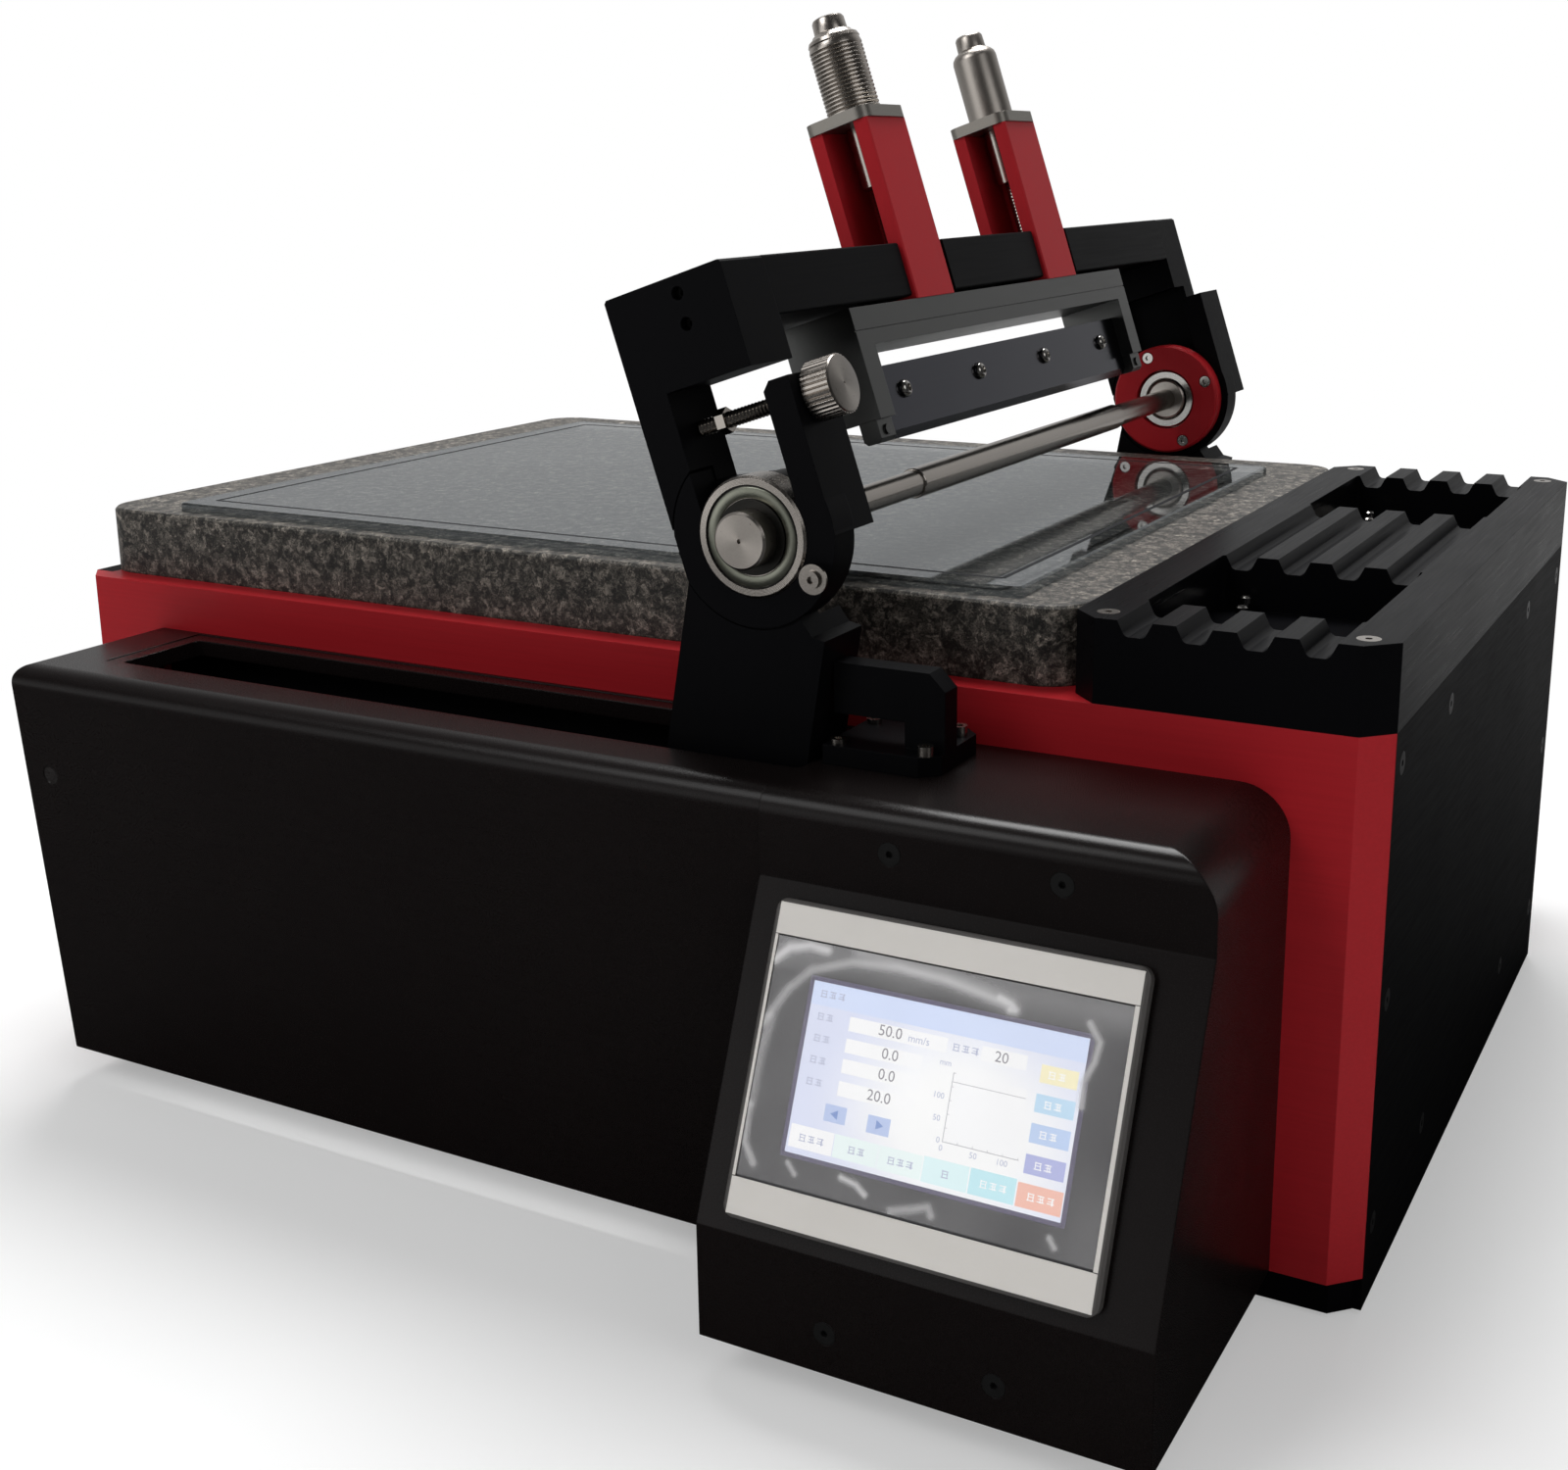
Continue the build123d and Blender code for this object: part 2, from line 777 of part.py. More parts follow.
# ==== linear guides and drive ====
def guide_rail():
    rail = block(rail_start, rail_end, -half_depth - rail_height, -half_depth,
                 rail_z - rail_width / 2, rail_z + rail_width / 2)
    for z in (rail_z - rail_width / 2, rail_z + rail_width / 2):
        rail = rail - rod_x(1.2, rail_start - 1, rail_end + 1, -half_depth - rail_height * 0.55, z)
    x = rail_start + rail_hole_pitch / 2
    while x < rail_end:
        rail = rail - rod_y(1.75, -half_depth - rail_height - 1, -half_depth + 1, x, rail_z)
        rail = rail - rod_y(3, -half_depth - rail_height - 1, -half_depth - rail_height + 3.5, x, rail_z)
        x += rail_hole_pitch
    return rail


def guide_rails():
    return Compound(children=[guide_rail(), mirrored(guide_rail())])


def slider_centre():
    return post_centre_x - (post_centre_z - rail_z) * tan(radians(post_lean))


def slider_block():
    x = slider_centre()
    c = slide_clearance
    body = block(x - slider_length / 2, x + slider_length / 2, -half_depth - slider_height,
                 -half_depth - slider_ride, rail_z - slider_width / 2, rail_z + slider_width / 2)
    body = chamfer(body.edges().filter_by(Axis.X), 1)
    way = block(x - slider_length, x + slider_length, -half_depth - rail_height - c, -half_depth,
                rail_z - rail_width / 2 - c, rail_z + rail_width / 2 + c)
    body = body - way
    for x, z in slider_screw_spots():
        body = body - rod_y(2, -side_inner - 1, -side_inner + 6.2, x, z)
    return body


def slider_blocks():
    return Compound(children=[slider_block(), mirrored(slider_block())])


def drive_motor():
    y = -half_depth + panel_thickness
    body = block(motor_pulley_x - motor_size / 2, motor_pulley_x + motor_size / 2, y, y + motor_length,
                 belt_z - motor_size / 2, belt_z + motor_size / 2)
    body = chamfer(body.edges().filter_by(Axis.Y), 4)
    boss = rod_y(motor_boss_radius, y - motor_boss_height, y, motor_pulley_x, belt_z)
    bore = rod_y(motor_shaft_radius + shaft_running, y - 5, y + motor_length + 1,
                 motor_pulley_x, belt_z)
    return body + boss - bore


def drive_shaft():
    y = -half_depth + panel_thickness + motor_length
    return rod_y(motor_shaft_radius, -belt_y - pulley_face / 2 - 1, y, motor_pulley_x, belt_z)


def belt_pulley(x, bore):
    """Belt pulley with two guide flanges, turning on a shaft along Y."""
    y0 = -belt_y - pulley_face / 2
    y1 = -belt_y + pulley_face / 2
    wheel = rod_y(pulley_radius, y0, y1, x, belt_z)
    flange = rod_y(pulley_radius + 2, y0, y0 + pulley_flange - 0.3, x, belt_z)
    flange += rod_y(pulley_radius + 2, y1 - pulley_flange + 0.3, y1, x, belt_z)
    return wheel + flange - rod_y(bore, y0 - 1, y1 + 1, x, belt_z)


def idler_pin():
    y0 = -belt_y - pulley_face / 2
    pin = rod_y(3, y0 - 1, -half_depth + 7.5, idler_pulley_x, belt_z)
    head = rod_y(5, y0 - 3.5, y0 - 0.5, idler_pulley_x, belt_z)
    return pin + head


def timing_belt():
    inner = pulley_radius + belt_gap
    outer = inner + belt_thickness
    middle = (motor_pulley_x + idler_pulley_x) / 2
    span = idler_pulley_x - motor_pulley_x
    ring = SlotCenterToCenter(span, 2 * outer) - SlotCenterToCenter(span, 2 * inner)
    face = Pos(middle, belt_z) * ring
    return slab_y(face, -belt_y - belt_width / 2, -belt_y + belt_width / 2)


def belt_clamp():
    """Two jaws on an arm from the foot of the near side plate, closed on the upper belt run."""
    x = slider_centre()
    run = belt_z + pulley_radius + belt_gap + belt_thickness / 2
    back = -belt_y + belt_width / 2
    jaws = block(x - 15, x + 15, -belt_y - belt_width / 2 - 2, back, run - 4, post_foot_z - 1)
    arm = block(x - 15, x + 15, -side_inner - 8, -belt_y - belt_width / 2 - 2 + 0.01,
                post_foot_z - 9, post_foot_z - 1)
    tongue = block(x - 15, x + 15, -side_inner - 8, -side_inner - 0.4,
                   post_foot_z - 9, post_foot_z)
    gap = belt_thickness / 2 + 0.15
    belt = block(x - 16, x + 16, -belt_y - belt_width / 2 - 0.2, -belt_y + belt_width / 2 + 1,
                 run - gap, run + gap)
    return jaws + arm + tongue - belt


def control_board():
    x0 = half_length - board_right_inset - board_length
    y0 = -half_depth + panel_thickness + board_clear
    top = plinth_top + board_thickness
    tray = block(x0, x0 + board_length, y0, y0 + board_depth, plinth_top, top)
    middle = x0 + board_length * 0.42
    far = x0 + board_length - 12
    split = y0 + board_depth * 0.6
    parts = block(x0 + 12, middle - 8, y0 + 12, y0 + board_depth - 12, top - 0.1, top + supply_height)
    parts += block(middle + 8, far, y0 + 12, split - 4, top - 0.1, top + driver_height)
    parts += block(middle + 14, far - 6, split + 4, y0 + board_depth - 12, top - 0.1,
                   top + relay_height)
    return tray + parts


# ==== carriage ====
def post_edge(z):
    """X of the right-hand edge of the leaning post at height z."""
    return post_centre_x + post_half_width - (post_centre_z - z) * tan(radians(post_lean))


def post_outline():
    low = post_edge(post_foot_z)
    high = post_edge(shoulder_z)
    top = post_edge(axis_z - 4) - 2 * post_half_width
    return polygon([(low - 2 * post_half_width, post_foot_z), (low, post_foot_z),
                    (high, shoulder_z), (high - 5, shoulder_z + 1), (axis_x + 12, axis_z - 20),
                    (axis_x, axis_z), (axis_x - hub_radius + 1, axis_z - 8),
                    (top, axis_z - 16)])


def arm_upright():
    """The upright arm beside the bridge leg, drawn about the hinge axis."""
    arm = block(arm_inner, arm_outer, -side_outer, -side_inner, -7, arm_top)
    return chamfer(arm.edges().filter_by(Axis.Y).group_by(Axis.Z)[-1].sort_by(Axis.X)[0], arm_corner)


def side_plate(relief):
    """Side plate: leaning post, C-shaped bearing seat and the arm beside the bridge leg."""
    front = -side_outer + front_layer
    post = slab_y(post_outline(), -side_outer + relief, -side_inner)
    hub = rod_y(hub_radius, -side_outer, front, 0, 0)
    hub = hub - block(-hub_radius - 2, leg_back, -side_outer - 1, front + 1, -hub_radius, hub_radius)
    window = block(-seat_opening, arm_inner, -side_outer - 1, front + 1, 8, hub_radius + 5)
    plate = leaned(hub - window + arm_upright()) + post
    cradle = rod_y(hub_radius + hub_gap + 0.8, front, -side_inner + 1, axis_x, axis_z)
    arm_keep = leaned(block(arm_inner, arm_outer + 5, front - 1, -side_inner + 1, -7, arm_top + 5))
    plate = plate - (cradle - arm_keep)
    seat = rod_y(bearing_radius, -side_outer - 1, front + 1, axis_x, axis_z)
    plate = plate - seat
    groove = rod_y(hub_radius + 0.7, -side_outer - 1, -side_outer + 1.4, axis_x, axis_z)
    groove -= rod_y(hub_radius, -side_outer - 2, -side_outer + 2, axis_x, axis_z)
    plate = plate - (groove - leaned(block(-60, 60, -side_outer - 5, 0, -10, 60)))
    return plate


def near_side_plate():
    plate = side_plate(post_relief)
    stud = leaned(rod_x(stud_radius + stud_clearance, arm_inner - 1, arm_outer + 1,
                        -side_outer + side_thickness / 2, knob_height))
    plate = plate - stud
    tapped = rod_y(1.6, -side_outer - 1, -side_outer + 9, retainer_x, retainer_z)
    plate = plate - tapped
    for x, z in slider_screw_spots():
        plate = plate - rod_y(2.1, -side_outer - 1, -side_inner + 1, x, z)
        plate = plate - rod_y(3.8, -side_outer - 1, -side_outer + 5, x, z)
    return plate


def far_side_plate():
    plate = far_shift * side_plate(0)
    for place in flange_screw_places():
        plate = plate - place * rod_z(1.6, -8, 1, 0, 0)
    for x, z in slider_screw_spots():
        plate = plate - rod_y(2.1, side_inner - 1, side_outer + 1, x, z)
        plate = plate - rod_y(3.8, side_outer - 5, side_outer + 1, x, z)
    return plate


def slider_screw_spots():
    x = slider_centre()
    return [(x + i * 12, rail_z + j * 11) for i in (-1, 1) for j in (-1, 1)]


def bearing(outer_y, bore, inner):
    """One ring of a shielded ball bearing that lies along +Y from outer_y."""
    y1 = outer_y + bearing_width
    if inner:
        ring = rod_y(bore + bearing_race, outer_y, y1, axis_x, axis_z)
        return ring - rod_y(bore, outer_y - 1, y1 + 1, axis_x, axis_z)
    ring = rod_y(bearing_radius, outer_y, y1, axis_x, axis_z)
    ring = chamfer(ring.edges().group_by(Axis.Y)[0], 0.8)
    ring -= rod_y(bearing_radius - bearing_race, outer_y - 1, outer_y + 0.8, axis_x, axis_z)
    return ring - rod_y(bore + bearing_race + 0.15, outer_y - 1, y1 + 1, axis_x, axis_z)


def bearing_outer_rings():
    return Compound(children=[bearing(bearing_y, bearing_bore, False),
                              bearing(side_inner, bearing_bore, False)])


def bearing_inner_rings():
    return Compound(children=[bearing(bearing_y, bearing_bore, True),
                              bearing(side_inner, bearing_bore, True)])


def bearing_retainer():
    """Standoff, washer and cap screw that hold the outer ring in its seat."""
    y = -side_outer
    stand = rod_y(3.6, y - retainer_stand, y, retainer_x, retainer_z)
    washer = rod_y(retainer_washer_radius, y - retainer_stand - retainer_washer, y - retainer_stand,
                   retainer_x, retainer_z)
    head = rod_y(3, y - retainer_stand - retainer_washer - 1.4, y - retainer_stand,
                 retainer_x, retainer_z)
    socket = rod_y(1.3, y - 20, y - retainer_stand - 1, retainer_x, retainer_z)
    return stand + washer + head - socket + rod_y(1.5, y, y + 8, retainer_x, retainer_z)


def flange_screw_places():
    y = side_inner
    out = Pos(flange_screw_circle, 0, 0) * Rot(90, 0, 0)
    return [Pos(axis_x, y, axis_z) * Rot(0, -(flange_screw_angle + 90 * i), 0) * out
            for i in range(4)]


def bearing_flange():
    y1 = side_inner
    ring = rod_y(flange_radius, y1 - flange_thickness, y1, axis_x, axis_z)
    ring = chamfer(ring.edges().group_by(Axis.Y)[0], 1)
    ring -= rod_y(flange_hole_radius, y1 - flange_thickness - 1, y1 + 1, axis_x, axis_z)
    for place in flange_screw_places():
        ring = ring - place * rod_z(1.7, -1, flange_thickness + 1, 0, 0)
        ring = ring - place * rod_z(3.1, flange_thickness - 3.2, flange_thickness + 1, 0, 0)
    return ring


def carriage_screws():
    lift = flange_thickness - 3
    flange = [place * Pos(0, 0, lift) * cap_screw(lift + 6, 2.75, 2.6)
              for place in flange_screw_places()]
    near = [Pos(x, -side_outer + 5, z) * Rot(90, 0, 0) * cap_screw(side_thickness - 5 + 6, 3.5, 4, 2)
            for x, z in slider_screw_spots()]
    far = [Pos(x, side_outer - 5, z) * Rot(-90, 0, 0) * cap_screw(side_thickness - 5 + 6, 3.5, 4, 2)
           for x, z in slider_screw_spots()]
    return Compound(children=flange + near + far)


# ==== tilt screw ====
def tilt_knob():
    """Knob on a threaded stud that runs through the arm to the bridge leg."""
    y = -side_outer + side_thickness / 2
    tip = leg_back + leg_strip + stud_contact
    stud = rod_x(stud_radius, tip, arm_outer + 3, y, knob_height)
    stud = chamfer(stud.edges().group_by(Axis.X)[0], 0.5)
    x0 = arm_outer + knob_gap
    knob = rod_x(knob_radius, x0, x0 + knob_length, y, knob_height)
    knob = chamfer(knob.edges().group_by(Axis.X)[-1], 0.8)
    return leaned(knob + stud)


def tilt_lock_nut():
    y = -side_outer + side_thickness / 2
    nut = Pos(nut_inner, y, knob_height) * Rot(0, 90, 0) * extrude(
        RegularPolygon(nut_radius, 6), nut_outer - nut_inner)
    return leaned(nut - rod_x(stud_radius + 0.03, nut_inner - 1, nut_outer + 1, y, knob_height))


# ==== bridge, drawn upright about the hinge axis ====
def leg():
    """Near leg: a head that carries the beam, a strip down its back and a hub on the axle."""
    front = -side_outer
    strip_inner = leg_back + leg_strip
    head = block(leg_back, leg_front, front, -side_inner, leg_window_top, leg_top)
    strip = block(leg_back, strip_inner, front, -side_inner, 0, leg_window_top + 1)
    piece = head + strip
    piece = piece - rod_y(hub_radius + hub_gap, front - 1, front + front_layer + layer_gap, 0, 0)
    y0 = front + front_layer + layer_gap
    web = slab_y(polygon([(leg_back, 22), (leg_back, -7), (-18, -16), (0, -leg_hub_radius),
                          (0, leg_hub_radius), (strip_inner, 22)]), y0, -side_inner)
    hub = rod_y(leg_hub_radius, y0, -side_inner, 0, 0)
    low = block(leg_back, 0, front, y0, -60, 0.5)
    piece = piece - low + web + hub
    piece = chamfer(piece.edges().filter_by(Axis.Y).group_by(Axis.Z)[-1], leg_edge)
    return piece - rod_y(axle_radius, y0 - 1, -side_inner + 1, 0, 0)


def leg_screw_spots():
    middle = (leg_front + beam_back) / 2
    return [(middle, beam_bottom + 4.5), (middle, leg_top - 6)]


def near_leg():
    piece = leg()
    for x, z in leg_screw_spots():
        piece = piece - rod_y(leg_screw_shank + 0.1, -side_outer - 1, -side_inner + 1, x, z)
        piece = piece - rod_y(leg_screw_head + 0.2, -side_outer - 1,
                              -side_outer + leg_screw_sink, x, z)
    return leaned(piece)


def far_leg():
    y0 = -side_outer + front_layer + layer_gap
    piece = leg() + block(leg_back, leg_front, y0, -side_inner, 0, leg_window_top + 1)
    piece = far_shift * (piece - rod_y(axle_radius, y0 - 1, -side_inner + 1, 0, 0))
    for x, z in leg_screw_spots():
        piece = piece - rod_y(leg_screw_shank + 0.1, side_inner - 1, side_outer + 1, x, z)
        piece = piece - rod_y(leg_screw_head + 0.2, side_outer - leg_screw_sink, side_outer + 1,
                              x, z)
    return leaned(piece)


def leg_screws():
    sink = leg_screw_sink
    screw = cap_screw(side_thickness - sink + 8, leg_screw_head, 2.5, leg_screw_shank)
    near = [Pos(x, -side_outer + sink, z) * Rot(90, 0, 0) * screw for x, z in leg_screw_spots()]
    far = [Pos(x, side_outer - sink, z) * Rot(-90, 0, 0) * screw for x, z in leg_screw_spots()]
    return leaned(Compound(children=near + far))


def crossbeam():
    beam = block(beam_back, leg_front, -beam_half, beam_half, beam_bottom, leg_top)
    beam = chamfer(beam.edges().filter_by(Axis.Y), 0.6)
    for y in tower_ys:
        beam = beam - block(notch_back, leg_front + 1, y - notch_near, y + notch_far,
                            beam_bottom - 1, leg_top + 1)
        beam = beam - rod_y(anvil_radius, y - tower_width / 2 - 18, y, spindle_axis, anvil_height)
    for x, z in leg_screw_spots():
        for side in (-1, 1):
            y0, y1 = sorted((side * beam_half, side * (beam_half - 10)))
            beam = beam - rod_y(leg_screw_shank, y0 - 0.01, y1, x, z)
    return leaned(beam)


def anvil_pins():
    """Dowels across the notches that the micrometer spindles stand on."""
    pins = [rod_y(anvil_radius, y - tower_width / 2 - 18, y + anvil_radius, spindle_axis, anvil_height)
            for y in tower_ys]
    return leaned(Compound(children=pins))


def near_axle():
    """Turned stub that runs in the near bearing, with a bored end for the cross rod."""
    y0 = -side_outer - axle_nose
    axle = rod_y(axle_radius - shaft_running, y0, -side_inner, 0, 0)
    axle = chamfer(axle.edges().group_by(Axis.Y)[0], 0.8)
    axle -= rod_y(0.8, y0 - 1, y0 + 1, 0, 0)
    return leaned(axle - rod_y(rod_neck_radius, -side_inner - 10, -side_inner + 1, 0, 0))


def far_axle():
    """The same stub at the far side, from inside the flange out to the leg's outer face."""
    y0 = side_inner - flange_thickness + 1
    axle = rod_y(axle_radius - shaft_running, y0, side_outer, 0, 0)
    axle = chamfer(axle.edges().group_by(Axis.Y)[0], 0.8)
    return leaned(axle - rod_y(rod_neck_radius, y0 - 1, side_inner + 10, 0, 0))


def cross_rod():
    """Stepped rod between the two axles: thick over the bed, necked at both ends."""
    neck = rod_y(rod_neck_radius, -side_inner - 10, side_inner + 10, 0, 0)
    middle = rod_y(rod_radius, -rod_shoulder_near, rod_shoulder_far, 0, 0)
    middle = chamfer(middle.edges().filter_by(GeomType.CIRCLE), 0.4)
    return leaned(neck + middle)


# ==== blade unit ====
def tower(y):
    """Machined channel that passes through a notch of the beam and stands on the holder."""
    back = tower_front - tower_depth
    post = block(back, tower_front, y - tower_width / 2, y + tower_width / 2, holder_top, tower_top)
    post = chamfer(post.edges().filter_by(Axis.Z), 0.6)
    channel = block(back + tower_wall, tower_front - tower_wall, y - tower_width / 2 - 1,
                    y + tower_width / 2 - tower_back_wall, holder_top + 6, tower_top + 1)
    return leaned(post - channel)


def tower_caps():
    back = tower_front - tower_depth
    caps = []
    for y in tower_ys:
        cap = block(back - cap_lip, tower_front + cap_lip, y - tower_width / 2 - cap_lip,
                    y + tower_width / 2 + cap_lip, tower_top, tower_top + cap_thickness)
        cap = fillet(cap.edges().filter_by(Axis.Z), cap_corner)
        caps.append(cap - rod_z(sleeve_radius - 2, tower_top - 1, tower_top + 9, spindle_axis, y))
    return leaned(Compound(children=caps))


def micrometer_sleeves():
    """Fixed barrels of the micrometer heads, with the plain nose that hangs in the channel."""
    bore = spindle_radius + 0.1
    sleeves = []
    for y in tower_ys:
        sleeve = rod_z(sleeve_radius, tower_top + cap_thickness, sleeve_top, spindle_axis, y)
        sleeve += rod_z(sleeve_radius - 2, tower_top, tower_top + cap_thickness, spindle_axis, y)
        sleeve += rod_z(nose_radius, nose_bottom, tower_top + 1, spindle_axis, y)
        sleeves.append(sleeve - rod_z(bore, nose_bottom - 1, sleeve_top + 1, spindle_axis, y))
    return leaned(Compound(children=sleeves))


def thimble(y):
    """Turning part of a micrometer head: thimble, ratchet, nib and the thin spindle inside."""
    low = tower_top + cap_thickness + thimble_gap
    shell = rod_z(thimble_radius, low, thimble_top, spindle_axis, y)
    shell = chamfer(shell.edges().group_by(Axis.Z)[-1], 1.6)
    shell -= rod_z(thimble_radius - thimble_wall, low - 1, sleeve_top + thimble_gap, spindle_axis, y)
    ratchet = rod_z(ratchet_radius, thimble_top - 0.5, ratchet_top, spindle_axis, y)
    ratchet = chamfer(ratchet.edges().group_by(Axis.Z)[-1], 0.8)
    nib = rod_z(nib_radius, ratchet_top - 0.5, nib_top, spindle_axis, y)
    nib = fillet(nib.edges().group_by(Axis.Z)[-1], 1.2)
    spindle = rod_z(spindle_radius, anvil_height + anvil_radius + 0.05, thimble_top - 1,
                    spindle_axis, y)
    return leaned(shell + ratchet + nib + spindle)


def blade_holder():
    """Milled frame: a deep top bar, two end stiles and an open window above the blade."""
    y0 = unit_offset - unit_half
    y1 = unit_offset + unit_half
    frame = block(holder_back, holder_front, y0, y1, holder_foot, holder_top)
    inner = block(holder_back - 1, holder_front + 1, y0 + holder_stile, y1 - holder_stile,
                  holder_foot - 1, holder_top - holder_bar)
    frame = frame - inner
    lip = block(holder_front - 0.5, holder_front + 1, y0 - 1, y1 + 1,
                holder_top - 8.9, holder_top - 8.4)
    frame = frame - lip + blade_shelf(y0, y1)
    for y in blade_screw_spots():
        frame = frame - rod_x(1.5, 0, blade_front, y, blade_screw_height)
    return leaned(frame)


def blade_shelf(y0, y1):
    """Bar behind the blade that the blade screws bite into."""
    back = blade_front - blade_thickness
    return block(back - shelf_thickness, back, y0 + holder_stile - 0.5, y1 - holder_stile + 0.5,
                 holder_foot + 2, blade_top - 2)


def blade_screw_spots():
    middle = (blade_screw_count - 1) / 2
    return [unit_offset + (i - middle) * blade_screw_pitch for i in range(blade_screw_count)]


def blade():
    """Doctor blade: a ground plate with a bevelled lower edge."""
    back = blade_front - blade_thickness
    y0 = unit_offset - unit_half + holder_stile + seat_gap
    y1 = unit_offset + unit_half - holder_stile - seat_gap
    section = polygon([(back, blade_top), (blade_front, blade_top), (blade_front, blade_bottom + 3),
                       (blade_front - blade_bevel, blade_bottom), (back, blade_bottom)])
    plate = slab_y(section, y0, y1)
    for y in blade_screw_spots():
        plate = plate - rod_x(1.6, back - 1, blade_front + 1, y, blade_screw_height)
    return leaned(plate)


def blade_screws():
    screw = cap_screw(blade_thickness + shelf_thickness)
    screws = [Pos(blade_front, y, blade_screw_height) * Rot(0, 90, 0) * screw
              for y in blade_screw_spots()]
    return leaned(Compound(children=screws))


def blade_end_plates():
    """Side dams under the stiles that close the ends of the blade."""
    plates = []
    for side in (-1, 1):
        ya = unit_offset + side * unit_half
        yb = ya - side * (holder_stile - seat_gap)
        plate = block(end_plate_back, end_plate_front, min(ya, yb), max(ya, yb),
                      blade_bottom, holder_foot)
        plate = chamfer(plate.edges().filter_by(Axis.Y).group_by(Axis.Z)[0], 1.5)
        screw = Pos(end_plate_front, (ya + yb) / 2, (blade_bottom + holder_foot) / 2) * Rot(0, 90, 0)
        plates.append(plate + screw * (Cylinder(2, 1.6)))
    return leaned(Compound(children=plates))


save("base_plate", base_plate())
save("rubber_feet", rubber_feet())
save("front_panel", front_panel())
save("rear_panel", mirrored(long_panel()))
save("left_end_panel", left_end_panel())
save("right_end_panel", end_panel(1))
save("end_panel_screws", place_all(csk_screw(), end_screw_places(1) + end_screw_places(-1)))
save("deck_plate", deck_plate())
save("power_inlet", power_inlet())
save("granite_bed", granite_bed())
save("glass_platen", glass_platen())
save("bar_tray", bar_tray())
save("tray_screws", tray_screws())
save("front_housing", front_housing())
save("rear_housing", rear_housing())
save("slot_trims", slot_trims())
save("housing_screws", housing_screws())
save("hmi_body", hmi_body())
save("hmi_bezel", hmi_bezel())
save("hmi_glass", hmi_glass())
save("home_stop", home_stop())
save("home_stop_screws", home_stop_screws())
save("guide_rails", guide_rails())
save("drive_motor", drive_motor())
save("drive_shaft", drive_shaft())
save("drive_pulley", belt_pulley(motor_pulley_x, motor_shaft_radius))
save("idler_pulley", belt_pulley(idler_pulley_x, 3 + shaft_running))
save("idler_pin", idler_pin())
save("timing_belt", timing_belt())
save("control_board", control_board())
save("near_side_plate", near_side_plate())
save("far_side_plate", far_side_plate())
save("slider_blocks", slider_blocks())
save("bearing_outer_rings", bearing_outer_rings())
save("bearing_inner_rings", bearing_inner_rings())
save("bearing_retainer", bearing_retainer())
save("bearing_flange", bearing_flange())
save("carriage_screws", carriage_screws())
save("belt_clamp", belt_clamp())
save("tilt_knob", tilt_knob())
save("tilt_lock_nut", tilt_lock_nut())
save("near_leg", near_leg())
save("far_leg", far_leg())
save("leg_screws", leg_screws())
save("crossbeam", crossbeam())
save("anvil_pins", anvil_pins())
save("near_axle", near_axle())
save("far_axle", far_axle())
save("cross_rod", cross_rod())
save("near_tower", tower(tower_ys[0]))
save("far_tower", tower(tower_ys[1]))
save("tower_caps", tower_caps())
save("micrometer_sleeves", micrometer_sleeves())
save("near_thimble", thimble(tower_ys[0]))
save("far_thimble", thimble(tower_ys[1]))
save("blade_holder", blade_holder())
save("blade", blade())
save("blade_screws", blade_screws())
save("blade_end_plates", blade_end_plates())
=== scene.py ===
from math import atan2, cos, pi, radians, sin

import bmesh
import bpy
from bpy.props import FloatProperty, FloatVectorProperty, IntProperty, PointerProperty
from mathutils import Matrix, Vector


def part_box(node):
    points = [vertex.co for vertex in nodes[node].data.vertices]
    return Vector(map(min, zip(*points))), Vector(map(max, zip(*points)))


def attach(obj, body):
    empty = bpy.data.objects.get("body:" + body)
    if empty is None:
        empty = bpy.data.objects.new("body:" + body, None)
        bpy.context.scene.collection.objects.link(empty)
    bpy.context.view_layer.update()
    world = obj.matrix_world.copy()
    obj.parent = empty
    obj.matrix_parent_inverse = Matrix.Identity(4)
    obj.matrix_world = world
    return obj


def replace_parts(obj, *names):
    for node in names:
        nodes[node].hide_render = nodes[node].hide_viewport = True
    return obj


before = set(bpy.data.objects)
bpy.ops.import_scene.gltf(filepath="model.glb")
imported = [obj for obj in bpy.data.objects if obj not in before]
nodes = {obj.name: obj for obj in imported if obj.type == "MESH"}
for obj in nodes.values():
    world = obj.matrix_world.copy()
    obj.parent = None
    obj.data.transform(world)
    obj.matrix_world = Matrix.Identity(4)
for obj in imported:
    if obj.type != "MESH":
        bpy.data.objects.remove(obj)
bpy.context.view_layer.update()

bl_info = {
    "name": "Film coater",
    "version": (1, 0, 0),
    "blender": (4, 5, 0),
    "location": "View3D > Sidebar > Film coater",
    "description": "Finishes a benchtop film coater with a granite bed and a micrometer-set blade",
    "category": "Object",
}

MM = 0.001


def node_middle(name):
    low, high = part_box(name)
    return (Vector(low) + Vector(high)) / 2


# The hinge axis of the bridge, and how far the bridge leans back at rest.
hinge = node_middle("near_axle")
LEAN = radians(18.2)
lean_turn = Matrix.Translation((hinge.x, 0, hinge.z)) @ Matrix.Rotation(-LEAN, 4, "Y")
# Places on the bridge, as it leans: the line of the micrometers, and the knob's height and side.
SPINDLE = 7.3 * MM
KNOB_HEIGHT = 40.5 * MM
KNOB_SIDE = -217 * MM


